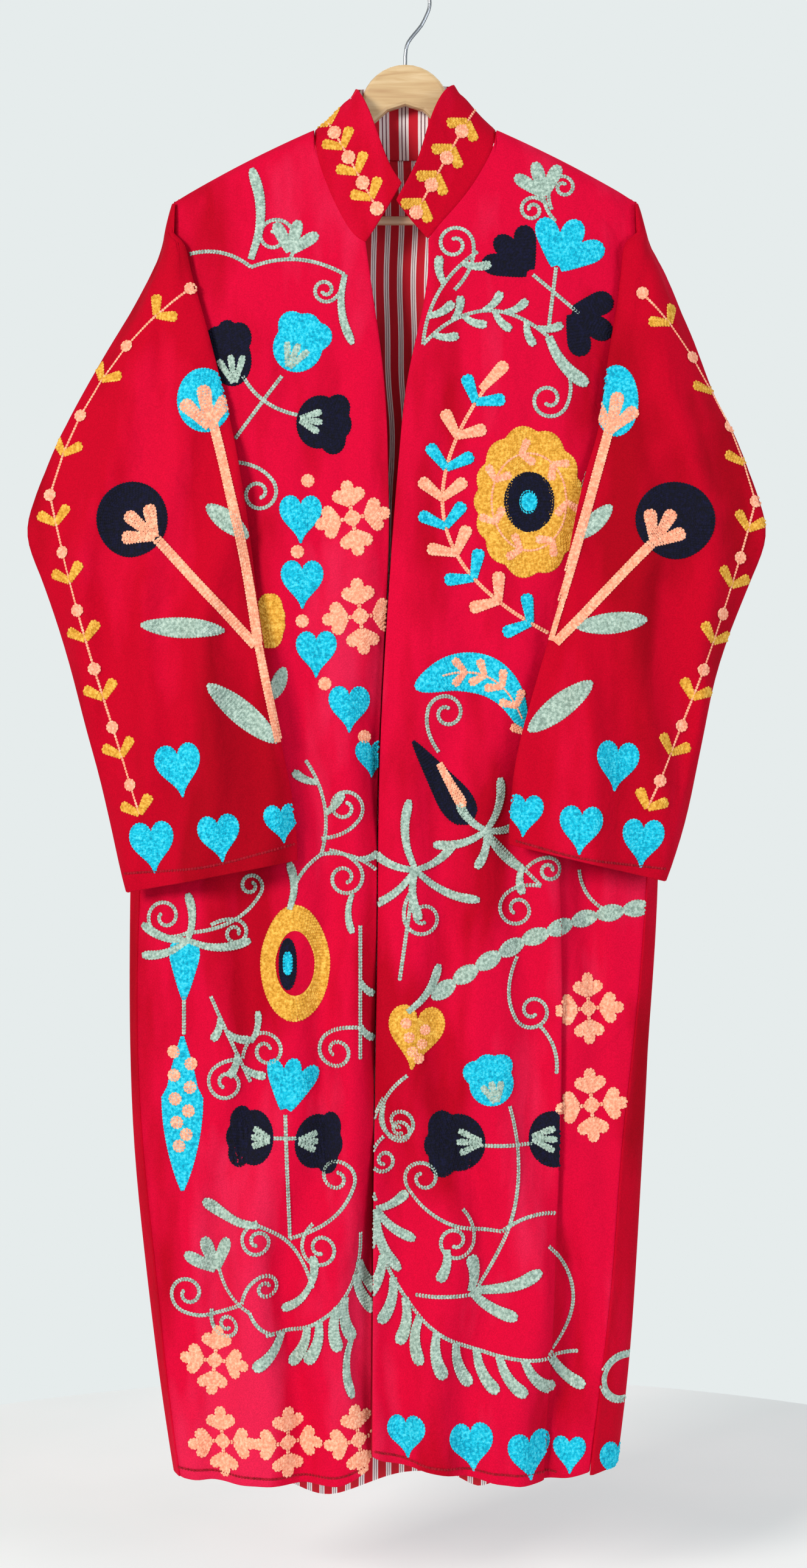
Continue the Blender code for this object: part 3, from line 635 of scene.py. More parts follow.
@dataclass
class CollarPiece(ClothPiece):
    """The collar, a band round the neck."""

    def inward(self, centres: np.ndarray) -> np.ndarray:
        """Direction to the middle of the neck."""
        inward = np.zeros_like(centres)
        inward[:, 0] = -centres[:, 0]
        inward[:, 1] = -centres[:, 1]
        front = centres[:, 1] < -0.012
        inward[front, 0] = 0.0
        inward[front, 1] = 1.0
        return inward / np.maximum(np.linalg.norm(inward, axis=1, keepdims=True), 1e-6)


@dataclass
class StitchSizes:
    """Real sizes of the chain stitch, in millimetres, and the hand's rules for stems and leaves.

    Args:
        length: Length of a stitch.
        step: Distance from stitch to stitch.
        width: Width of a stitch.
        height: Height of a stitch.
        row: Distance from row to row.
        vine_row: Distance of a stem's two rows from its middle.
        vine_share: Size of a stem's stitches, as a share of the usual.
        curl_turns: Turns of a curl.
        curl_radii: Radius of a small and of a large curl, in squares.
        curl_inner: Radius at a curl's end, as a share of its first.
        curl_lead: How far round the curl its stem runs in, in radians.
        bend_share: Bow of a stem for each step of bend, as a share of its length.
        leaf_spread_deg: Angle between a leaf and its stem.
        leaf_bow: Bow of a leaf, as a share of its length.
        tulip_rounds: Direction in radians, distance and radius of a tulip's rounds, as shares of its size.
        slant_deg: Angle that the stitches lean to their row.
        patch_lift: Thickness of the thin ground.
        layer: Thickness of a layer of thread.
    """

    length: float = 3.3
    step: float = 2.7
    width: float = 2.3
    height: float = 1.0
    row: float = 1.75
    vine_row: float = 0.8
    vine_share: float = 0.82
    curl_turns: float = 1.3
    curl_radii: tuple[float, float] = (16.0, 24.0)
    curl_inner: float = 0.24
    curl_lead: float = 0.6
    bend_share: float = 0.12
    leaf_spread_deg: float = 44.0
    leaf_bow: float = 0.10
    tulip_rounds: tuple[Point3, ...] = ((math.pi, 0.06, 0.40), (0.0, 0.30, 0.21), (0.82, 0.34, 0.21),
                                        (-0.82, 0.34, 0.21))
    slant_deg: float = 24.0
    patch_lift: float = 0.45
    layer: float = 0.5


@dataclass
class Stitches:
    """Stitches and ground patches of one colour on one panel, gathered before they are made."""

    grains: list[tuple[float, ...]] = field(default_factory=list)
    patches: list[tuple[np.ndarray, int]] = field(default_factory=list)


def round_end(t: float, start: float, span: float, least: float = 0.0) -> float:
    """Width of a round-ended shape, as a share.

    Args:
        t: Place along the shape, from 0 to 1.
        start: Where its end starts to round.
        span: Square of the length over which it rounds.
        least: Least square of the width.

    Returns:
        The share, 1 before the end starts.
    """
    return math.sqrt(max(1 - max(t - start, 0) ** 2 / span, least))


class Needle:
    """Embroiders one panel from one side, working in chart squares."""

    def __init__(self, cloth: ClothPiece, from_behind: bool = False, seed: int = 7) -> None:
        """Takes a panel in hand.

        Args:
            cloth: The panel.
            from_behind: Whether the chart is seen from behind the coat.
            seed: Seed of the small unevenness of a hand's work.
        """
        self.cloth = cloth
        self.side = -1.0 if from_behind else 1.0
        self.suffix = "_rear" if from_behind else ""
        self.sizes = StitchSizes()
        self.work = {thread: Stitches() for thread in Thread}
        self.limits = (0.0, math.inf)
        self.chance = random.Random(seed)

    def at(self, x: float, z: float) -> np.ndarray:
        """Place of a chart point, in millimetres."""
        return np.array((CHART_LEFT + CHART_SQUARE * x, CHART_TOP - CHART_SQUARE * z))

    @staticmethod
    def smooth(points: np.ndarray, per_span: int = 8) -> np.ndarray:
        """A smooth curve through points.

        Args:
            points: Points, one a row.
            per_span: Steps between two points.

        Returns:
            The points of the curve.
        """
        if len(points) < 3:
            return points
        ends = np.vstack((2 * points[0] - points[1], points, 2 * points[-1] - points[-2]))
        curve = []
        for k in range(1, len(ends) - 2):
            p0, p1, p2, p3 = ends[k - 1:k + 3]
            for step in range(per_span):
                t = step / per_span
                curve.append(0.5 * (2 * p1 + (p2 - p0) * t + (2 * p0 - 5 * p1 + 4 * p2 - p3) * t ** 2
                                    + (3 * p1 - p0 - 3 * p2 + p3) * t ** 3))
        curve.append(points[-1])
        return np.array(curve)

    def row(self, thread: Thread, path: np.ndarray, slant: float, layer: int = 0,
            share: float = 1.0) -> None:
        """Lays one row of stitches along a path.

        Args:
            thread: Colour.
            path: Points in millimetres.
            slant: Angle that the stitches lean, in degrees.
            layer: How many layers of thread lie under it.
            share: How thick the stitches are, as a share of the usual.
        """
        steps = np.linalg.norm(np.diff(path, axis=0), axis=1)
        total = float(steps.sum())
        if total < 0.6 * self.sizes.step:
            return
        along = np.concatenate(([0.0], np.cumsum(steps)))
        count = max(1, round(total / self.sizes.step))
        for k in range(count):
            place = (k + 0.5) * total / count
            x, z = (float(np.interp(place, along, path[:, c])) for c in (0, 1))
            if not self.limits[0] <= (x - CHART_LEFT) / CHART_SQUARE <= self.limits[1]:
                continue
            ahead = min(place + 0.8, total)
            behind = max(place - 0.8, 0.0)
            dx, dz = (float(np.interp(ahead, along, path[:, c]) - np.interp(behind, along, path[:, c]))
                      for c in (0, 1))
            turn = math.atan2(dz, dx) + math.radians(slant + self.chance.uniform(-7, 7))
            self.work[thread].grains.append((x, z, math.cos(turn), math.sin(turn),
                                             total / count * self.sizes.length / self.sizes.step,
                                             layer, share))

    def ground(self, thread: Thread, grid: np.ndarray, layer: int) -> None:
        """Keeps the thin ground of a filled shape, cut off at the limits."""
        low, high = (CHART_LEFT + CHART_SQUARE * limit for limit in self.limits)
        grid[..., 0] = np.clip(grid[..., 0], low, high)
        self.work[thread].patches.append((grid, layer))

    def vine(self, thread: Thread, *points: Point, layer: int = 0) -> None:
        """Lays a stem of two rows through chart points."""
        path = self.smooth(np.array([self.at(*p) for p in points]))
        normal = np.gradient(path, axis=0)[:, ::-1] * (-1, 1)
        normal /= np.maximum(np.linalg.norm(normal, axis=1, keepdims=True), 1e-6)
        for side in (-1, 1):
            self.row(thread, path + normal * side * self.sizes.vine_row, -side * self.sizes.slant_deg, layer,
                     self.sizes.vine_share)

    def stem(self, thread: Thread, start: Point, end: Point, bow: float = 0.0, width: float = 11.5) -> None:
        """Lays a thick stem of three rows over other work."""
        self.band(thread, [tuple(p) for p in self.arc(start, end, bow)], width / 2, lambda t: 1.0, 1)

    def spiral(self, thread: Thread, x: float, z: float, radius: float, start: float,
               turns: float = 1.5, hand: int = 1) -> None:
        """Winds a stem in to a middle.

        Args:
            thread: Colour.
            x: Middle, in squares.
            z: Middle, in squares.
            radius: Outer radius, in squares.
            start: Angle at which it starts, in degrees; 90 is up.
            turns: Number of turns.
            hand: 1 for anticlockwise inwards, -1 for clockwise.
        """
        points = []
        count = int(turns * 8)
        for k in range(count + 1):
            turn = math.radians(start + hand * 360 * turns * k / count)
            reach = radius * (1 - 0.82 * k / count)
            points.append((x + reach * math.cos(turn), z - reach * math.sin(turn)))
        self.vine(thread, *points)

    def band(self, thread: Thread, points: Iterable[Point], half_width: float,
             profile: Callable[[float], float], layer: int = 0) -> None:
        """Fills a shape that lies along a middle line, in rows that follow its sides.

        Args:
            thread: Colour.
            points: Chart points of the middle line.
            half_width: Greatest half width, in squares.
            profile: Share of the half width at each share of the length.
            layer: Layers of thread under it.
        """
        middle = self.smooth(np.array([self.at(*p) for p in points]), 10)
        if len(middle) < 8:
            middle = np.array([middle[0] + (middle[-1] - middle[0]) * t for t in np.linspace(0, 1, 16)])
        normal = np.gradient(middle, axis=0)[:, ::-1] * (-1, 1)
        normal /= np.maximum(np.linalg.norm(normal, axis=1, keepdims=True), 1e-6)
        widths = np.array([profile(t) for t in np.linspace(0, 1, len(middle))]) * half_width * CHART_SQUARE
        count = max(1, round(half_width * CHART_SQUARE / self.sizes.row))
        shares = np.linspace(-1, 1, 2 * count + 1)
        self.ground(thread, np.array([middle + normal * widths[:, None] * s for s in shares]), layer)
        for k, share in enumerate(shares * (1 - 0.35 / count)):
            far = widths >= (0.55 * self.sizes.row * count if k % 2 else 0.0)
            if far.sum() > 2:
                path = (middle + normal * widths[:, None] * share)[far]
                self.row(thread, path, self.sizes.slant_deg * (1 if k % 2 else -1), layer)

    def leaf(self, thread: Thread, x: float, z: float, length: float, width: float, angle: float,
             layer: int = 0) -> None:
        """Fills a pointed leaf about its middle."""
        dx, dz = math.cos(math.radians(angle)) * length / 2, math.sin(math.radians(angle)) * length / 2
        self.band(thread, ((x - dx, z + dz), (x + dx, z - dz)), width / 2,
                  lambda t: max(math.sin(math.pi * t), 0.0) ** 0.62 * 0.97 + 0.03, layer)

    def finger(self, thread: Thread, *points: Point, width: float = 12.0, layer: int = 0) -> None:
        """Fills a round-ended finger along a line, narrow at its root."""
        self.band(thread, points, width / 2,
                  lambda t: (0.45 + 0.55 * t) * round_end(t, 0.8, 0.0405, 0.02), layer)

    def drop(self, thread: Thread, tip: Point, end: Point, width: float, layer: int = 0) -> None:
        """Fills a drop, pointed at its tip and round at its end."""
        self.band(thread, (tip, end), width / 2,
                  lambda t: t ** 0.85 * round_end(t, 0.62, 0.146) + 0.02, layer)

    def star(self, thread: Thread, x: float, z: float, outline: Callable[[float], float],
             angle: float = 0.0, inner: float = 0.0, layer: int = 0) -> None:
        """Fills a shape in rings round its middle.

        Args:
            thread: Colour.
            x: Middle, in squares.
            z: Middle, in squares.
            outline: Radius in squares at each angle in degrees.
            angle: How far the shape is turned, in degrees.
            inner: Share of the radius left open in the middle.
            layer: Layers of thread under it.
        """
        middle = self.at(x, z)
        turns = np.linspace(0, 360, 145 if outline(0.0) > 60 else 49)
        radii = np.array([outline(t % 360) for t in turns]) * CHART_SQUARE
        spokes = np.array([(math.cos(math.radians(t + angle)), math.sin(math.radians(t + angle)))
                           for t in turns])
        reach = float(radii.mean())
        count = max(1, int(reach * (1 - inner) / self.sizes.row))
        levels = [1 - (1 - inner) * k / count for k in range(count)] + [max(inner, 0.02)]
        self.ground(thread, np.array([middle + spokes * (radii * s)[:, None] for s in levels]), layer)
        for k, share in enumerate(levels[:-1]):
            ring = middle + spokes * (np.maximum(radii * share - 0.7, 0.3))[:, None]
            self.row(thread, ring, self.sizes.slant_deg * (1 if k % 2 else -1), layer)

    def disc(self, thread: Thread, x: float, z: float, wide: float, high: float | None = None,
             scallops: int = 0, inner: float = 0.0, layer: int = 0) -> None:
        """Fills a disc or an oval, plain or scalloped."""
        tall = wide if high is None else high

        def outline(turn: float) -> float:
            """Radius of the oval, with its scallops."""
            t = math.radians(turn)
            edge = 1 + (0.08 * abs(math.sin(scallops * t / 2)) if scallops else 0.0)
            return edge * wide * tall / math.hypot(tall * math.cos(t), wide * math.sin(t))

        self.star(thread, x, z, outline, 0.0, inner, layer)

    @staticmethod
    def arc(start: Point, end: Point, bow: float, count: int = 9) -> np.ndarray:
        """Points of a bowed line.

        Args:
            start: Its start, in squares.
            end: Its end, in squares.
            bow: How far its middle stands off the straight line, in squares.
            count: Number of points.

        Returns:
            The points, one a row.
        """
        first, run = np.array(start, float), np.subtract(end, start).astype(float)
        off = np.array((-run[1], run[0])) / max(float(np.hypot(*run)), 1e-6)
        share = np.linspace(0, 1, count)[:, None]
        return first + share * run + off * 4 * bow * share * (1 - share)

    @staticmethod
    def headings(points: np.ndarray) -> np.ndarray:
        """Direction back along a line at each of its points, in degrees; 90 is up."""
        way = np.gradient(points, axis=0)
        return np.degrees(np.arctan2(way[:, 1], -way[:, 0]))

    def tendril(self, thread: Thread, x: float, z: float, end_x: float, end_z: float, bend: int = 0,
                curl: int = 0) -> np.ndarray:
        """Works a bowed stem, or one that winds into a curl.

        Args:
            thread: Colour.
            x: Start, in squares.
            z: Start, in squares.
            end_x: End, or the middle of the curl.
            end_z: End, or the middle of the curl.
            bend: How strongly it bows, from -2 to 2.
            curl: 1 for a small curl, 2 for a large one, negative to wind it the other way, 0 for none.

        Returns:
            The points of its path, in squares.
        """
        start, end = np.array((x, z), float), np.array((end_x, end_z), float)
        apart = float(np.hypot(*(start - end)))
        if not curl:
            path = self.arc((x, z), (end_x, end_z), self.sizes.bend_share * bend * apart, 13)
        else:
            radius, hand = min(self.sizes.curl_radii[abs(curl) - 1], 0.8 * apart), math.copysign(1.0, curl)
            touch = math.acos(radius / apart) + self.sizes.curl_lead
            first = math.atan2(*(start - end)[::-1]) + hand * touch
            turn = first + hand * 2 * math.pi * self.sizes.curl_turns * np.linspace(0, 1, 22)
            reach = radius * np.linspace(1.0, self.sizes.curl_inner, 22)
            coil = end + np.stack((np.cos(turn), np.sin(turn)), 1) * reach[:, None]
            ahead = hand * np.array((-math.sin(first), math.cos(first)))
            knee = coil[0] - ahead * 0.5 * float(np.hypot(*(coil[0] - start)))
            share = np.linspace(0, 1, 12)[:-1, None]
            lead = (1 - share) ** 2 * start + 2 * share * (1 - share) * knee + share ** 2 * coil[0]
            path = np.concatenate((lead, coil))
        self.vine(thread, *path)
        return path

    def grow(self, start: Point, end: Point, bend: int = 0, curl: int = 0, leaves: int = 0, side: int = 0,
             size: float = 34.0) -> None:
        """Works a sage stem, with leaves along it if it has any.

        Args:
            start: Its root, in squares.
            end: Its tip, or the middle of its curl.
            bend: How strongly it bows, from -2 to 2.
            curl: Its curl, as for a tendril.
            leaves: Number of leaves.
            side: 1 or -1 for leaves on one side only, 0 for both by turns.
            size: Length of a leaf, in squares.
        """
        path = self.tendril(Thread.SAGE, *start, *end, bend, curl)
        headings = self.headings(path) + 180
        for k in range(leaves):
            at = round((k + 1) / (leaves + 0.6) * (len(path) - 1))
            turn = math.radians(headings[at] + self.sizes.leaf_spread_deg * (side or (1 if k % 2 else -1)))
            tip = path[at] + size * np.array((math.cos(turn), -math.sin(turn)))
            self.blade(tuple(path[at]), tuple(tip), size * 0.2 + 5)

    def blade(self, root: Point, tip: Point, width: float = 13.0) -> None:
        """Works a slightly bowed sage leaf from its root to its tip."""
        length = math.hypot(tip[0] - root[0], tip[1] - root[1])
        bow = math.copysign(self.sizes.leaf_bow, tip[0] - root[0]) * length
        self.finger(Thread.SAGE, *self.arc(root, tip, bow, 4), width=width, layer=1)

    def burst(self, x: float, z: float, size: float, turn: float = 75.0) -> None:
        """Works six sage leaves that spread from one place, long and short by turns."""
        for k in range(6):
            way = math.radians(turn + 60 * k)
            reach = size * (0.7 if k % 2 else 1.0)
            self.blade((x, z), (x + reach * math.cos(way), z - reach * math.sin(way)), 12)

    def stitch_line(self, *points: Point) -> None:
        """Works the fine line that holds a turned edge."""
        self.row(Thread.CRIMSON, self.smooth(np.array([self.at(*p) for p in points])), 0.0)

    def flower(self, thread: Thread, foot: Point, heading: float, length: float, width: float,
               spread: float = 42.0) -> None:
        """Works a flower of three round petals that spread from one foot."""
        for side in (-1, 0, 1):
            turn = math.radians(heading + side * spread)
            tip = (foot[0] + length * math.cos(turn), foot[1] - length * math.sin(turn))
            self.band(thread, (foot, tip), width / 2,
                      lambda t: (0.5 + 0.5 * t ** 0.6) * round_end(t, 0.62, 0.146))
        turn = math.radians(heading)
        self.dot(thread, foot[0] + 0.2 * length * math.cos(turn), foot[1] - 0.2 * length * math.sin(turn),
                 width * 0.42)

    def dot(self, thread: Thread, x: float, z: float, radius: float = 7.5, layer: int = 0) -> None:
        """Works a small round dot."""
        self.disc(thread, x, z, radius, layer=layer)

    @staticmethod
    def drawn(curve: Sequence[Point]) -> Callable[[float], float]:
        """Outline through points drawn round a middle, as a radius at each angle in degrees."""
        turns = np.array([math.degrees(math.atan2(b, a)) % 360 for a, b in curve])
        reach = np.array([math.hypot(a, b) for a, b in curve])
        order = np.argsort(turns)
        turns, reach = turns[order], reach[order]
        return lambda t: float(np.interp(t, turns, reach, period=360))

    def heart(self, thread: Thread, x: float, z: float, size: float, angle: float = 0.0) -> None:
        """Fills a heart, its point down, a little taller than wide."""
        curve = []
        for k in range(72):
            t = 2 * math.pi * k / 72
            curve.append((16 * math.sin(t) ** 3 * size / 36, size / 28.5 * (
                13 * math.cos(t) - 5 * math.cos(2 * t) - 2 * math.cos(3 * t) - math.cos(4 * t) + 2.2)))
        self.star(thread, x, z, self.drawn(curve), angle)

    @staticmethod
    def lobes(rounds: Sequence[Point3], turn: float) -> float:
        """How far overlapping rounds reach in one direction.

        Args:
            rounds: Direction in radians, distance and radius of each.
            turn: The direction, in radians.

        Returns:
            The reach.
        """
        reach = 0.0
        for way, off, size in rounds:
            side = off * math.sin(turn - way)
            if abs(side) < size:
                reach = max(reach, off * math.cos(turn - way) + math.sqrt(size ** 2 - side ** 2))
        return reach

    def tulip(self, thread: Thread, x: float, z: float, wide: float, high: float, angle: float = 90.0,
              heart: Thread = Thread.SAGE) -> None:
        """Fills a tulip with three scalloped petals and three stamens at its foot.

        Args:
            thread: Colour of the petals.
            x: Middle, in squares.
            z: Middle, in squares.
            wide: Width, in squares.
            high: Height, in squares.
            angle: Where its mouth looks, in degrees; 90 is up.
            heart: Colour of the stamens.
        """
        curve = []
        for turn in np.radians(np.arange(-180, 180, 5)):
            reach = self.lobes(self.sizes.tulip_rounds, turn)
            curve.append((reach * high * math.cos(turn), reach * wide * math.sin(turn)))
        self.star(thread, x, z, self.drawn(curve), angle)
        back = math.radians(angle + 180)
        foot = (x + 0.46 * high * math.cos(back), z - 0.46 * high * math.sin(back))
        for spread in (-24, 0, 24):
            turn = math.radians(angle + spread)
            root = (foot[0] + 4 * math.cos(turn), foot[1] - 4 * math.sin(turn))
            tip = (foot[0] + 0.45 * high * math.cos(turn), foot[1] - 0.45 * high * math.sin(turn))
            self.finger(heart, root, tip, width=8.5, layer=1)

    def snowflake(self, thread: Thread, x: float, z: float, reach: float = 44.0, angle: float = 0.0) -> None:
        """Works a four-armed flower, each arm ending in three petals, round a dot."""
        self.dot(thread, x, z, reach * 0.2)
        for quarter in range(4):
            turn = math.radians(angle + 90 * quarter)
            root = (x + reach * 0.42 * math.cos(turn), z - reach * 0.42 * math.sin(turn))
            self.vine(thread, (x + reach * 0.16 * math.cos(turn), z - reach * 0.16 * math.sin(turn)), root)
            for spread, length in ((0, 0.60), (52, 0.50), (-52, 0.50)):
                way = turn + math.radians(spread)
                self.band(thread, (root, (root[0] + reach * length * math.cos(way),
                                          root[1] - reach * length * math.sin(way))), reach * 0.19,
                          lambda t: (0.55 + 0.45 * t) * round_end(t, 0.6, 0.161))

    def pair(self, thread: Thread, x: float, z: float, angle: float, size: float = 30.0,
             layer: int = 0) -> None:
        """Works two leaves that open in a V from a point."""
        for spread in (-48, 48):
            turn = math.radians(angle + spread)
            self.finger(thread, (x, z), (x + size * math.cos(turn), z - size * math.sin(turn)),
                        width=size * 0.52, layer=layer)

    def prong(self, x: float, z: float, angle: float, size: float) -> None:
        """Works the peach head of three petals at a stem's end."""
        for spread, share in ((-38, 0.86), (0, 1.0), (38, 0.86)):
            turn = math.radians(angle + spread)
            self.finger(Thread.PEACH, (x, z), (x + size * share * math.cos(turn),
                                               z - size * share * math.sin(turn)), width=size * 0.36, layer=1)

    def cast(self, x: float, z: float) -> tuple[Vector, Vector] | None:
        """Finds where a point of the chart lies on the cloth.

        Args:
            x: Place across, in millimetres.
            z: Height, in millimetres.

        Returns:
            The place and the cloth's normal there, in metres, or nothing where there is no cloth.
        """
        hit, normal, _, _ = self.cloth.tree.ray_cast(Vector((x * MM, -0.4 * self.side, z * MM)),
                                                     Vector((0, self.side, 0)))
        if hit is None or abs(normal.y) < 0.3:
            return None
        return hit, (normal if normal.y * self.side < 0 else -normal)

    def finish(self, wools: dict[Thread, bpy.types.Material]) -> int:
        """Makes one mesh for each colour on this panel.

        Args:
            wools: Material of each thread.

        Returns:
            The number of stitches made.
        """
        made = 0
        for thread, stitches in self.work.items():
            verts: list[np.ndarray] = []
            faces: list[tuple[int, ...]] = []
            for grid, layer in stitches.patches:
                self.lay_patch(grid, layer, verts, faces)
            for grain in stitches.grains:
                made += self.lay_stitch(grain, verts, faces)
            if not faces:
                continue
            name = f"{self.cloth.node}_{thread.value}_stitches{self.suffix}"
            mesh = bpy.data.meshes.new(name)
            mesh.from_pydata([tuple(v) for v in verts], [], faces)
            mesh.validate()
            mesh.shade_smooth()
            mesh.materials.append(wools[thread])
            piece = bpy.data.objects.new(name, mesh)
            bpy.context.scene.collection.objects.link(piece)
            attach(piece, BODY)
        LOG.info("%s%s: %d stitches", self.cloth.node, self.suffix, made)
        return made

    def lay_patch(self, grid: np.ndarray, layer: int, verts: list, faces: list) -> None:
        """Lays a thin ground of thread under the rows of a filled shape."""
        rows, columns = grid.shape[:2]
        number = -np.ones((rows, columns), dtype=int)
        lift = (self.sizes.patch_lift + layer * self.sizes.layer) * MM
        for i in range(rows):
            for j in range(columns):
                found = self.cast(*grid[i, j])
                if found:
                    number[i, j] = len(verts)
                    edge = 0.0 if i == 0 else lift
                    verts.append(np.array(found[0] + found[1] * max(edge, layer * self.sizes.layer * MM)))
        for i in range(rows - 1):
            for j in range(columns - 1):
                quad = (number[i, j], number[i, j + 1], number[i + 1, j + 1], number[i + 1, j])
                if min(quad) < 0:
                    continue
                depths = [verts[q][1] for q in quad]
                if max(depths) - min(depths) < 0.006:
                    faces.append(quad if self.side > 0 else quad[::-1])

    def lay_stitch(self, grain: tuple[float, ...], verts: list, faces: list) -> int:
        """Lays one stitch, a low arch with pointed ends.

        Returns:
            1 if it was laid, or 0 where there is no cloth.
        """
        x, z, dx, dz, length, layer, share = grain
        found = self.cast(x, z)
        if not found:
            return 0
        place, normal = (np.array(v) for v in found)
        along = np.array((dx, 0.0, dz))
        along -= normal * float(along @ normal)
        along /= np.linalg.norm(along)
        across = np.cross(normal, along)
        place = place + normal * (self.sizes.patch_lift * 0.6 + layer * self.sizes.layer) * MM
        half, wide, high = length / 2 * MM, self.sizes.width * share / 2 * MM, self.sizes.height * MM
        base = len(verts)
        verts.append(place - along * half)
        for end in (-0.42, 0.42):
            middle = place + along * half * end
            verts.extend((middle - across * wide, middle + normal * high, middle + across * wide))
        verts.append(place + along * half)
        for a, b, c in ((0, 2, 1), (0, 3, 2), (7, 4, 5), (7, 5, 6)):
            faces.append((base + a, base + b, base + c))
        faces.append((base + 1, base + 2, base + 5, base + 4))
        faces.append((base + 2, base + 3, base + 6, base + 5))
        return 1


class SleeveChart:
    """The motifs of a sleeve: a vine down its outer edge, two discs on stems, leaves and hearts."""

    def __init__(self, needle: Needle) -> None:
        """Takes the needle that is on the sleeve."""
        self.needle = needle

    def edge_vine(self, start: Point, elbow: Point, end: Point, bows: tuple[float, float]) -> None:
        """Works the outer vine: dots and gold leaf pairs by turns, along the sleeve's outer edge.

        Args:
            start: Its start, at the shoulder.
            elbow: Where it turns, at the sleeve's widest.
            end: Its end, near the cuff.
            bows: How far each half stands off.
        """
        n = self.needle
        path = np.concatenate((n.arc(start, elbow, bows[0], 7), n.arc(elbow, end, bows[1], 12)[1:]))
        n.row(Thread.PEACH, np.array([n.at(*p) for p in path]), 0.0)
        for (x, z), heading in zip(path[1::2], n.headings(path)[1::2]):
            n.pair(Thread.GOLD, x, z, heading, 27)
        for x, z in path[::2]:
            n.dot(Thread.PEACH, x, z, 7.5, layer=1)

    def right(self) -> None:
        """Works the right sleeve, at the viewer's left."""
        n = self.needle
        self.edge_vine((243, 368), (64, 632), (182, 1038), (30, 5))
        n.disc(Thread.TURQUOISE, 262, 513, 34, 41)
        n.disc(Thread.NAVY, 172, 666, 45, 48)
        n.stem(Thread.PEACH, (267, 520), (331, 822), -5)
        n.stem(Thread.PEACH, (331, 822), (357, 948), width=9)
        n.stem(Thread.PEACH, (204, 692), (328, 826))
        n.prong(268, 548, 98, 54)
        n.prong(202, 690, 140, 50)
        n.leaf(Thread.SAGE, 292, 668, 66, 25, -38)
        n.leaf(Thread.SAGE, 237, 804, 106, 25, -4)
        n.leaf(Thread.SAGE, 313, 912, 112, 30, -40)
        for x, z, size, turn in ((233, 983, 66, 8), (198, 1080, 64, 5), (285, 1068, 58, 8),
                                 (362, 1050, 48, 6)):
            n.heart(Thread.TURQUOISE, x, z, size, turn)
        n.stitch_line((160, 1114), (268, 1104), (378, 1076))

    def left(self) -> None:
        """Works the left sleeve, at the viewer's right."""
        n = self.needle
        self.edge_vine((820, 374), (964, 640), (823, 1031), (-22, -8))
        n.disc(Thread.TURQUOISE, 786, 513, 27, 46)
        n.disc(Thread.NAVY, 858, 667, 50, 49)
        n.stem(Thread.PEACH, (782, 532), (700, 818))
        n.stem(Thread.PEACH, (830, 695), (708, 822))
        n.prong(778, 552, 78, 50)
        n.prong(830, 697, 58, 50)
        n.leaf(Thread.SAGE, 758, 668, 58, 22, 45)
        n.leaf(Thread.SAGE, 777, 798, 90, 26, 6)
        n.leaf(Thread.SAGE, 712, 903, 100, 30, 38)
        for x, z, size, turn in ((783, 978, 62, -6), (667, 1040, 52, -4), (737, 1058, 60, -4),
                                 (817, 1075, 60, -4)):
            n.heart(Thread.TURQUOISE, x, z, size, turn)
        n.stitch_line((656, 1072), (740, 1094), (848, 1108))

    def rear(self) -> None:
        """Works a few hearts and leaves on the sleeve's rear."""
        n = self.needle
        x = 245 if n.cloth.node == "right_sleeve" else 785
        for k in range(2):
            n.heart(Thread.TURQUOISE, x - 35 + 80 * k, 1068, 60)
        n.vine(Thread.PEACH, (x, 520), (x + 4, 640), (x, 760))
        n.disc(Thread.NAVY, x, 500, 36)
        for k, z in enumerate((620, 700, 780)):
            n.leaf(Thread.SAGE, x + (30 if k % 2 else -30), z, 74, 24, 30 if k % 2 else 150)


class CollarChart:
    """The motifs of the collar: gold leaf pairs and peach dots down each side."""

    def __init__(self, needle: Needle) -> None:
        """Takes the needle that is on the collar."""
        self.needle = needle

    def chain(self, start: Point, end: Point, angle: float, repeats: int = 4) -> None:
        """Works one side's chain.

        Args:
            start: Its top.
            end: Its bottom.
            angle: Where the leaf pairs open, in degrees.
            repeats: Number of leaf pairs.
        """
        n = self.needle
        path = np.array((n.at(*start), n.at(*end)))
        n.row(Thread.PEACH, path, 0.0)
        run_x, run_z = (end[0] - start[0]) / repeats, (end[1] - start[1]) / repeats
        for k in range(repeats):
            n.pair(Thread.GOLD, start[0] + run_x * (k + 0.55), start[1] + run_z * (k + 0.55), angle, 27)
            n.dot(Thread.PEACH, start[0] + run_x * (k + 0.95), start[1] + run_z * (k + 0.95), 8.5, layer=1)

    def work(self) -> None:
        """Works both sides."""
        self.chain((409, 132), (482, 267), 118)
        self.chain((608, 130), (530, 272), 240)


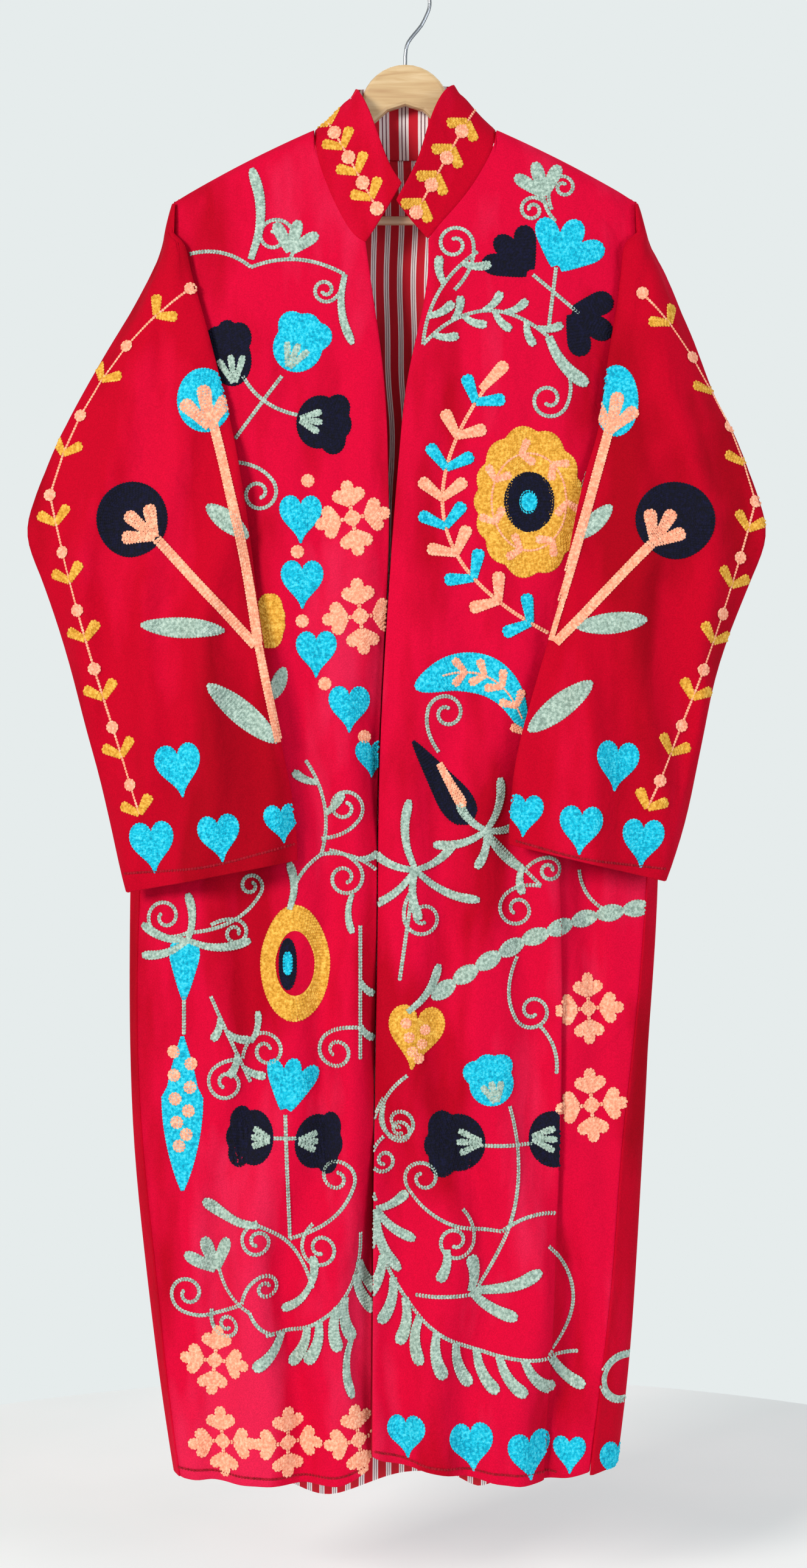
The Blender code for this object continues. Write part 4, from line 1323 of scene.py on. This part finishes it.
class RightFrontChart:
    """The motifs of the right front, at the viewer's left."""

    def __init__(self, needle: Needle) -> None:
        """Takes the needle that is on the right front."""
        self.needle = needle

    def chest(self) -> None:
        """Works the pod, vine and three tulips of the chest."""
        n = self.needle
        n.grow((240, 320), (320, 340), -1)
        n.grow((320, 340), (440, 350), -1)
        n.grow((370, 330), (350, 300), curl=-2)
        n.grow((440, 350), (415, 370), curl=1)
        n.blade((320, 330), (320, 210), 14)
        n.blade((440, 350), (450, 440), 11)
        n.flower(Thread.SAGE, (370, 320), 75, 42, 17)
        n.grow((310, 480), (380, 530), 1)
        n.grow((360, 480), (300, 560))
        n.grow((300, 590), (330, 630), curl=2)
        n.tulip(Thread.NAVY, 294, 452, 64, 88, 98)
        n.tulip(Thread.TURQUOISE, 382, 439, 78, 80, 66)
        n.tulip(Thread.NAVY, 412, 540, 84, 72, -8)

    def hearts(self) -> None:
        """Works the run of hearts and dots, the snowflakes beside it and the gold and sage leaves."""
        n = self.needle
        for x, z, size in ((384, 663, 60), (386, 746, 60), (404, 835, 58), (446, 905, 58), (474, 968, 46)):
            n.heart(Thread.TURQUOISE, x, z, size)
        for x, z in ((393, 614), (380, 705), (386, 793), (415, 873), (465, 940)):
            n.dot(Thread.PEACH, x, z, 8)
        n.snowflake(Thread.PEACH, 450, 662, 47, 10)
        n.snowflake(Thread.PEACH, 460, 787, 47, 6)
        n.disc(Thread.GOLD, 345, 793, 18, 34, 8)
        n.leaf(Thread.SAGE, 356, 872, 42, 18, 70)

    def middle(self) -> None:
        """Works the branch, the gold almond, the pods and the two navy tulips."""
        n = self.needle
        n.grow((370, 1160), (410, 1090), -1)
        n.grow((410, 1090), (390, 970), 1, leaves=2)
        n.grow((410, 1070), (440, 1030), curl=-2)
        n.grow((410, 1090), (480, 1110), -1, leaves=1, side=1, size=26)
        n.grow((420, 1085), (440, 1120), curl=2)
        n.blade((450, 1140), (450, 1190), 9)
        n.blade((370, 1160), (370, 1100), 11)
        n.grow((240, 1190), (210, 1170), curl=2)
        n.grow((240, 1190), (320, 1130), curl=-1)
        n.grow((270, 1180), (300, 1190), curl=1)
        for tip in ((240, 1140), (180, 1180), (180, 1220), (320, 1200)):
            n.blade((240, 1200), tip, 12)
        n.grow((270, 1270), (320, 1380), leaves=4, size=30)
        n.grow((310, 1350), (340, 1340), curl=2)
        n.grow((310, 1350), (290, 1380), curl=-2)
        n.blade((320, 1330), (330, 1290), 9)
        n.grow((460, 1180), (460, 1350), leaves=2, side=1, size=24)
        n.grow((460, 1310), (430, 1340), curl=-2)
        n.grow((235, 1270), (235, 1320))
        n.grow((350, 1450), (380, 1450))
        n.grow((365, 1420), (370, 1580))
        n.star(Thread.GOLD, 377, 1228, self.almond(44, 74), 0.0, 0.56)
        n.disc(Thread.NAVY, 368, 1229, 11, 33, inner=0.35)
        n.disc(Thread.TURQUOISE, 368, 1228, 6, 15, layer=1)
        n.drop(Thread.TURQUOISE, (235, 1276), (236, 1197), 52)
        n.band(Thread.TURQUOISE, ((233, 1322), (233, 1519)), 27,
               lambda t: max(math.sin(math.pi * min(t * 1.42, 1.0) ** 0.9 * 0.5) if t < 0.4
                             else math.cos((t - 0.4) / 0.6 * math.pi / 2) ** 0.8, 0.03))
        for k in range(9):
            n.dot(Thread.PEACH, 233 + (11 - k * k / 9) * (-1) ** (k + 1), 1342 + 15 * k, 8, layer=1)
        n.flower(Thread.TURQUOISE, (366, 1412), 80, 64, 25, 26)
        n.tulip(Thread.NAVY, 321, 1450, 86, 62, 176)
        n.tulip(Thread.NAVY, 406, 1456, 86, 62, -6)

    def hem(self) -> None:
        """Works the branches and the snowflakes above the hem."""
        n = self.needle
        n.blade((330, 1560), (260, 1530), 15)
        n.grow((330, 1560), (400, 1640), -1)
        n.grow((330, 1555), (330, 1580), curl=-2)
        n.grow((370, 1580), (430, 1500), curl=-2)
        n.grow((400, 1560), (410, 1590), curl=-2)
        for tip in ((400, 1600), (360, 1670)):
            n.blade((395, 1640), tip, 12)
        n.flower(Thread.SAGE, (275, 1620), 110, 44, 17)
        n.grow((280, 1620), (320, 1670), 1)
        n.grow((310, 1660), (240, 1650), curl=2)
        n.grow((270, 1670), (290, 1690), curl=-1)
        n.grow((310, 1660), (340, 1640), curl=1)
        n.grow((320, 1670), (350, 1700), 1)
        n.grow((460, 1570), (340, 1700), -2, leaves=7, side=1, size=56)
        n.blade((450, 1700), (450, 1780), 11)
        for x, z, turn in ((274, 1736, -6), (284, 1840, 5), (368, 1837, 0), (458, 1833, 8)):
            n.snowflake(Thread.PEACH, x, z, 43, turn)

    @staticmethod
    def almond(wide: float, high: float) -> Callable[[float], float]:
        """Outline of an almond with its point up."""
        def outline(turn: float) -> float:
            """Radius of the oval, drawn out towards the top."""
            t = math.radians(turn)
            point = 1 + 0.10 * max(math.sin(t), 0) ** 8 - 0.10 * max(math.sin(t), 0) ** 2
            return point * wide * high / math.hypot(high * math.cos(t), wide * math.sin(t))

        return outline

    def work(self) -> None:
        """Works the whole panel."""
        self.chest()
        self.hearts()
        self.middle()
        self.hem()
        self.needle.stitch_line((222, 1876), (300, 1880), (420, 1880), (466, 1868))


class LeftFrontChart:
    """The motifs of the left front, at the viewer's right, with its pleat at the side."""

    def __init__(self, needle: Needle) -> None:
        """Takes the needle that is on the left front."""
        self.needle = needle

    def chest(self) -> None:
        """Works the chest: sage flower, tulips, twig and leafy branch."""
        n = self.needle
        n.flower(Thread.SAGE, (695, 245), 105, 44, 18)
        n.grow((695, 240), (710, 280), 1)
        n.grow((705, 265), (720, 235), curl=1)
        n.grow((700, 260), (680, 265), curl=-1)
        n.grow((710, 340), (700, 420))
        n.grow((680, 350), (740, 400))
        n.grow((540, 440), (610, 320), -1, leaves=3, size=36)
        n.grow((580, 370), (580, 310), curl=-2)
        n.grow((540, 440), (700, 430), -2, leaves=8, size=32)
        n.blade((700, 430), (750, 490), 18)
        n.grow((720, 460), (700, 510), curl=2)
        n.flower(Thread.NAVY, (673, 344), 132, 58, 31, 38)
        n.flower(Thread.TURQUOISE, (713, 337), 66, 64, 33)
        n.flower(Thread.NAVY, (733, 400), -28, 54, 33, 52)

    def sun(self) -> None:
        """Works the leafy peach and turquoise vine and the gold sun."""
        n = self.needle
        branch = n.arc((622, 492), (700, 808), 95, 19)
        n.vine(Thread.PEACH, *branch)
        n.finger(Thread.PEACH, (614, 498), (646, 464), width=17)
        for k, ((x, z), heading) in enumerate(zip(branch[1::2], n.headings(branch)[1::2])):
            for spread in (-52, 52):
                turn = math.radians(heading + spread)
                n.finger(Thread.PEACH if k % 2 else Thread.TURQUOISE, (x, z),
                         (x + 37 * math.cos(turn), z - 37 * math.sin(turn)), width=17, layer=1)
        n.disc(Thread.GOLD, 675, 641, 65, 90, 13, 0.40)
        n.disc(Thread.NAVY, 675, 641, 32, 38, 0, 0.3, layer=1)
        n.disc(Thread.TURQUOISE, 674, 641, 12, 15, layer=1)
        around = np.radians(np.linspace(0, 360, 15))
        ring = np.stack((675 + 48 * np.cos(around), 641 - 62 * np.sin(around)), 1)
        n.row(Thread.PEACH, n.smooth(np.array([n.at(*p) for p in ring])), 0.0, 1)
        for (x, z), heading in zip(ring[:-1:2], n.headings(ring)[:-1:2]):
            n.pair(Thread.PEACH, x, z, heading, 21, layer=1)

    def middle(self) -> None:
        """Works the crescent, paisley, starbursts, oval chain and gold heart."""
        n = self.needle
        crescent = n.arc((530, 878), (672, 936), -48, 13)
        n.band(Thread.TURQUOISE, [tuple(p) for p in crescent[::3]], 25,
               lambda t: max(math.sin(math.pi * t ** 0.8) ** 0.7, 0.04))
        n.row(Thread.PEACH, np.array([n.at(*p) for p in crescent[2:-1]]), 0.0, 1)
        for (x, z), heading in zip(crescent[4::2], n.headings(crescent)[4::2]):
            n.pair(Thread.PEACH, x, z, heading, 22, layer=1)
        n.grow((560, 960), (570, 910), curl=2)
        n.burst(620, 1060, 70)
        n.burst(530, 1110, 90, 95)
        n.grow((620, 1060), (690, 1130), leaves=1, side=-1)
        n.grow((670, 1110), (700, 1110), curl=1)
        n.grow((690, 1130), (660, 1160), curl=-2)
        n.grow((530, 1130), (540, 1170), curl=-2)
        n.grow((530, 1110), (510, 1250))
        n.grow((660, 1220), (680, 1290), curl=-2)
        n.grow((690, 1310), (710, 1370), -1)
        n.grow((740, 1110), (770, 1160), 1)
        n.grow((520, 1370), (510, 1430), curl=-2)
        n.blade((520, 1290), (560, 1230), 12)
        n.drop(Thread.NAVY, (527, 946), (600, 1049), 56)
        n.finger(Thread.PEACH, (560, 974), (592, 1030), width=15, layer=1)
        chain = n.arc((566, 1263), (814, 1160), -18, 9)
        for (x, z), heading in zip(chain, n.headings(chain)):
            n.leaf(Thread.SAGE, x, z, 36, 21, heading)
        n.heart(Thread.GOLD, 530, 1322, 80, -7)
        for k in range(6):
            n.dot(Thread.PEACH, 531 + (13 - 2 * k) * (-1) ** (k + 1), 1304 + 9 * k, 6.5, layer=1)

    def skirt(self) -> None:
        """Works the lower tulips, curls, twigs and fern; the pleat hides half of one tulip."""
        n = self.needle
        n.grow((650, 1410), (610, 1640), -1)
        n.grow((610, 1460), (680, 1460))
        n.grow((640, 1570), (710, 1550), -1)
        n.grow((640, 1570), (540, 1500), curl=2)
        n.grow((590, 1540), (580, 1580), curl=2)
        n.blade((570, 1590), (560, 1630), 14)
        for tip in ((600, 1600), (690, 1620), (660, 1680)):
            n.blade((600, 1645), tip, 17)
        n.grow((600, 1650), (530, 1650))
        n.grow((700, 1590), (700, 1730), -2)
        n.grow((470, 1530), (740, 1730), 2, leaves=11, side=-1, size=60)
        n.grow((490, 1400), (480, 1530), 1)
        n.grow((490, 1410), (510, 1440), curl=-1)
        n.grow((490, 1450), (490, 1480), curl=-1)
        for tip in ((520, 1520), (530, 1580), (510, 1620)):
            n.blade((480, 1540), tip, 13)
        n.tulip(Thread.TURQUOISE, 626, 1378, 70, 68, 104)
        n.tulip(Thread.NAVY, 582, 1457, 90, 80, 182)
        n.limits = (0.0, PLEAT_EDGE)
        n.tulip(Thread.NAVY, 712, 1454, 90, 80, -2)
        n.limits = (0.0, math.inf)

    def hem(self) -> None:
        """Works the hearts above the hem and the snowflakes of the side."""
        n = self.needle
        for x, z, size, turn in ((519, 1830, 54, 4), (602, 1845, 62, 5), (676, 1857, 62, 3),
                                 (728, 1860, 46, 0)):
            n.heart(Thread.TURQUOISE, x, z, size, turn)
        n.limits = (PLEAT_EDGE - 4, math.inf)
        n.snowflake(Thread.PEACH, 752, 1288, 44, 2)
        n.snowflake(Thread.PEACH, 756, 1412, 46, 4)
        n.limits = (0.0, math.inf)

    def work(self) -> None:
        """Works the whole panel."""
        self.chest()
        self.sun()
        self.middle()
        self.skirt()
        self.hem()
        self.needle.stitch_line((478, 1848), (540, 1864), (620, 1876), (712, 1884))


class BackChart:
    """The motifs of the back: a strip that shows at the side from the front, and its own rear."""

    def __init__(self, needle: Needle) -> None:
        """Takes the needle that is on the back."""
        self.needle = needle

    def edge(self) -> None:
        """Works what shows past the left front: a sage ring and the tip of a heart."""
        n = self.needle
        n.disc(Thread.SAGE, 800, 1766, 34, 34, 0, 0.72)
        n.heart(Thread.TURQUOISE, 792, 1876, 56)

    def rear(self) -> None:
        """Works the back's own face with the coat's motifs, spaced wide."""
        n, sage = self.needle, Thread.SAGE
        n.disc(Thread.GOLD, 515, 560, 92, 92, 22, 0.34)
        n.disc(Thread.NAVY, 515, 560, 40, 40, 0, 0.36)
        n.dot(Thread.TURQUOISE, 515, 560, 13)
        for k in range(8):
            turn = math.radians(45 * k)
            n.pair(Thread.PEACH, 515 + 66 * math.cos(turn), 560 - 66 * math.sin(turn), 45 * k + 90, 20, 1)
        for side in (-1, 1):
            n.tulip(Thread.TURQUOISE if side < 0 else Thread.NAVY, 515 + 130 * side, 400, 76, 82, 90)
            n.vine(sage, (515 + 130 * side, 440), (515 + 150 * side, 520), (515 + 140 * side, 620),
                   (515 + 100 * side, 720), (515, 800))
            for x, z, angle in ((150, 500, 30), (150, 560, 150), (142, 620, 30), (128, 670, 150)):
                n.leaf(sage, 515 + side * (x + (26 if angle < 90 else -26)), z, 58, 20,
                       angle if side > 0 else 180 - angle)
            n.spiral(sage, 515 + 80 * side, 850, 30, 90, 1.6, side)
            n.disc(Thread.TURQUOISE, 515 + 150 * side, 1000, 40)
            n.snowflake(Thread.PEACH, 515 + 150 * side, 1140, 46)
            n.tulip(Thread.NAVY, 515 + 105 * side, 1390, 84, 70, 90 - 90 * side)
            n.spiral(sage, 515 + 70 * side, 1560, 28, 90, 1.6, -side)
            n.snowflake(Thread.PEACH, 515 + 190 * side, 1640, 46)
        n.vine(sage, (515, 800), (517, 1000), (513, 1200), (515, 1420), (515, 1700))
        for k, z in enumerate(range(900, 1700, 80)):
            side = -1 if k % 2 else 1
            n.finger(sage, (515, z), (515 + 26 * side, z - 22), (515 + 50 * side, z - 56), width=15)
        n.heart(Thread.GOLD, 515, 1250, 100)
        for k in range(6):
            n.heart(Thread.TURQUOISE, 315 + 80 * k, 1842, 66)


class Coat:
    """The coat: its cloth pieces and their embroidery."""

    def __init__(self) -> None:
        """Lists the cut pieces."""
        self.pieces: dict[str, ClothPiece] = {piece.node: piece for piece in (
            BackPiece("back", (0.457, 1.227), 0.507, sways=(
                Sway(-900, -260, 92, -9, 0.03, 0.15, (-182, 150)),)),
            GorePiece("right_gore", (0.048, 1.148), 0.041),
            GorePiece("left_gore", (0.064, 1.147), 0.047),
            BackPiece("back_lining", (0.433, 1.199), 0.472, is_lining=True, sways=(
                Sway(-900, -260, 92, -9, 0.03, 0.15, (-182, 150)),)),
            ClothPiece("right_front", (0.220, 1.216), 0.236, creases=(
                Crease((-120, -300), (-70, -520), 12, -2.5), Crease((-60, -330), (-45, -640), 9, -2.2),
                Crease((-165, -930), (-70, -1010), 12, -2.0), Crease((-150, -820), (-120, -880), 8, -2.0),
                Crease((-19, -520), (-21, -1300), 17, -9.0)),
                sways=(Sway(-950, -330, 66, -14, 0.02, 0.30, (-200, 60)),
                       Sway(-1300, -700, 41, -3, -0.03, 0.1, (-200, 60)))),
            ClothPiece("left_front", (0.275, 1.210), 0.279, creases=(
                Crease((60, -280), (20, -520), 12, -2.5), Crease((120, -330), (90, -600), 10, -2.2),
                Crease((60, -900), (150, -960), 12, -2.0), Crease((205, -180), (190, -260), 8, -1.6)),
                sways=(Sway(-950, -330, 72, -14, -0.03, 0.85, (-60, 188)),
                       Sway(-1300, -700, 43, -3, 0.04, 0.4, (-60, 188)))),
            SleevePiece("right_sleeve", (0.410, 0.618), 0.180, creases=(
                Crease((-217, -240), (-216, -372), 7, -2.8), Crease((-229, -272), (-231, -311), 4, 2.2),
                Crease((-131, -603), (-183, -653), 8, 5.0), Crease((-183, -653), (-241, -675), 8, 4.0),
                Crease((-118, -560), (-190, -600), 10, 3.0), Crease((-300, -520), (-210, -560), 13, 4.0),
                Crease((-290, -430), (-200, -450), 15, 3.0), Crease((-270, -310), (-320, -430), 12, 3.0)),
                sways=(Sway(-560, -250, 58, 9, 0.16, 0.1),)),
            SleevePiece("left_sleeve", (0.361, 0.608), 0.158, creases=(
                Crease((219, -238), (213, -282), 6, -2.4), Crease((213, -282), (199, -343), 7, -2.6),
                Crease((268, -631), (238, -774), 7, 4.0), Crease((150, -590), (210, -630), 10, 4.0),
                Crease((295, -470), (200, -540), 13, 4.0), Crease((290, -400), (215, -430), 14, 3.0),
                Crease((260, -300), (315, -420), 12, 3.0)),
                sways=(Sway(-560, -250, 58, 9, -0.16, 0.6),)),
            CollarPiece("collar", (0.355, 0.065), 0.023),
            ClothPiece("collar_lining", (0.167, 0.055), 0.0089, is_lining=True),
        )}

    def dress(self) -> None:
        """Makes every shell with velvet outside and striped cotton inside."""
        velvet = CottonVelvet().make("crimson cotton velvet")
        # A darker, less pink copy of the same velvet, painted shade for the sleeves, gores and collar; the
        # fronts and the back keep the lighter one.
        shaded_velvet = CottonVelvet("#a40017", "#bf0022", "#d00530").make("crimson cotton velvet, darker copy with painted shade")
        cotton = StripedCotton().make("striped lining cotton")
        wide = StripedCotton(pitch_mm=16.7, group_share=0.51).make("striped collar lining cotton")
        for piece in self.pieces.values():
            if piece.is_lining:
                lining = wide if piece.node == "collar_lining" else cotton
                piece.build(lining, lining)
            else:
                # Sleeves, gores and collar take the darker copy of the velvet, whose colours are painted
                # shade.
                is_front = piece.node in ("right_front", "left_front", "back")
                piece.build(velvet if is_front else shaded_velvet, wide if piece.node == "collar" else cotton)

    def embroider(self) -> int:
        """Works all the embroidery.

        Returns:
            The number of stitches.
        """
        wools = {thread: wool.make(f"{thread.value} embroidery wool") for thread, wool in WOOLS.items()}
        needles = {name: Needle(piece, seed=11 + k) for k, (name, piece) in enumerate(self.pieces.items())}
        SleeveChart(needles["right_sleeve"]).right()
        SleeveChart(needles["left_sleeve"]).left()
        CollarChart(needles["collar"]).work()
        RightFrontChart(needles["right_front"]).work()
        LeftFrontChart(needles["left_front"]).work()
        BackChart(needles["left_gore"]).edge()
        for name in ("right_sleeve", "left_sleeve", "back"):
            needle = Needle(self.pieces[name], from_behind=True, seed=29)
            needles[name + " rear"] = needle
            (BackChart if name == "back" else SleeveChart)(needle).rear()
        return sum(needle.finish(wools) for needle in needles.values())


class Hanger:
    """The wooden hanger, its bar and its hook."""

    FINISHES = {
        "hanger_wood": (LacqueredWood(), "lacquered beech"),
        # The bar's wood is a lighter, pinker copy of the hanger's wood: painted light where the bar sits in
        # the coat's shade.
        "hanger_bar": (LacqueredWood("#c39a78", "#d0a987", "#dcb896"), "beech bar, lighter copy with painted light"),
        "hanger_hook": (PlatedSteel(), "zinc-plated steel wire"),
    }

    def dress(self) -> None:
        """Gives each solid its finish, with its round faces shaded smooth."""
        for name, (finish, title) in self.FINISHES.items():
            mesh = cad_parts[name].data
            mesh.materials.clear()
            mesh.materials.append(finish.make(title))
            mesh.shade_smooth()
            mesh.set_sharp_from_angle(angle=math.radians(38))


@dataclass(frozen=True)
class Studio:
    """A pale studio: paper floor, soft lamps and the camera of the photograph."""

    wall: str = "#e6ecec"
    sky_share: float = 0.62
    floor_below: float = -1.47
    distance: float = 2.2
    frame_height: float = 1.391

    def lamp(self, name: str, place: Point3, aim: Point3, size: float, watts: float, colour: str) -> None:
        """Adds one soft square lamp.

        Args:
            name: Its name.
            place: Where it stands, in metres.
            aim: What it looks at.
            size: Side of its face.
            watts: Its power.
            colour: Hex colour of its light.
        """
        light = bpy.data.lights.new(name, "AREA")
        light.size = size
        light.energy = watts
        light.color = linear(colour)[:3]
        lamp = bpy.data.objects.new(name, light)
        lamp.location = place
        lamp.rotation_euler = (Vector(aim) - Vector(place)).to_track_quat("-Z", "Y").to_euler()
        bpy.context.scene.collection.objects.link(lamp)

    def build(self) -> None:
        """Builds the floor, the lamps, the world's light and the camera."""
        mesh = bpy.data.meshes.new("paper_floor")
        work = bmesh.new()
        bmesh.ops.create_circle(work, cap_ends=True, radius=0.9, segments=96)
        work.to_mesh(mesh)
        work.free()
        mesh.materials.append(StudioPaper().make("matt white paper"))
        floor = bpy.data.objects.new("paper_floor", mesh)
        floor.location.z = self.floor_below
        bpy.context.scene.collection.objects.link(floor)
        world = bpy.data.worlds.new("pale studio")
        world.use_nodes = True
        seen = world.node_tree.nodes["Background"]
        seen.inputs[0].default_value = linear(self.wall)
        cast = add_node(world.node_tree, "ShaderNodeBackground", inputs={"Strength": self.sky_share})
        cast.inputs[0].default_value = linear(self.wall)
        is_seen = add_node(world.node_tree, "ShaderNodeLightPath").outputs["Is Camera Ray"]
        mixed = add_node(world.node_tree, "ShaderNodeMixShader", inputs={
            0: is_seen, 1: cast.outputs[0], 2: seen.outputs[0]})
        world.node_tree.links.new(mixed.outputs[0], world.node_tree.nodes["World Output"].inputs[0])
        bpy.context.scene.world = world
        self.lamp("window", (-2.2, -2.8, 0.3), (0.0, 0.0, -0.75), 1.0, 104.0, "#fffaf4")
        self.lamp("fill", (2.4, -2.4, -0.3), (0.0, 0.0, -0.75), 1.4, 43.0, "#f4f8ff")
        self.lamp("rear", (0.3, 2.4, 0.4), (0.0, 0.0, -0.7), 1.8, 14.0, "#ffffff")
        camera = bpy.data.cameras.new("camera")
        camera.sensor_fit = "VERTICAL"
        camera.sensor_height = 24.0
        camera.lens = camera.sensor_height * self.distance / self.frame_height
        eye = bpy.data.objects.new("camera", camera)
        eye.location = (-0.0016, -self.distance - 0.03, -0.7224)
        eye.rotation_euler = (math.radians(90), 0.0, 0.0)
        bpy.context.scene.collection.objects.link(eye)
        bpy.context.scene.camera = eye
        bpy.context.scene.view_settings.view_transform = "Standard"


def main() -> None:
    """Dresses the coat and the hanger and sets them in the studio."""
    logging.basicConfig(level=logging.INFO, format="%(name)s: %(message)s")
    coat = Coat()
    coat.dress()
    LOG.info("%d stitches in all", coat.embroider())
    Hanger().dress()
    Studio().build()


if __name__ == "__main__":
    main()
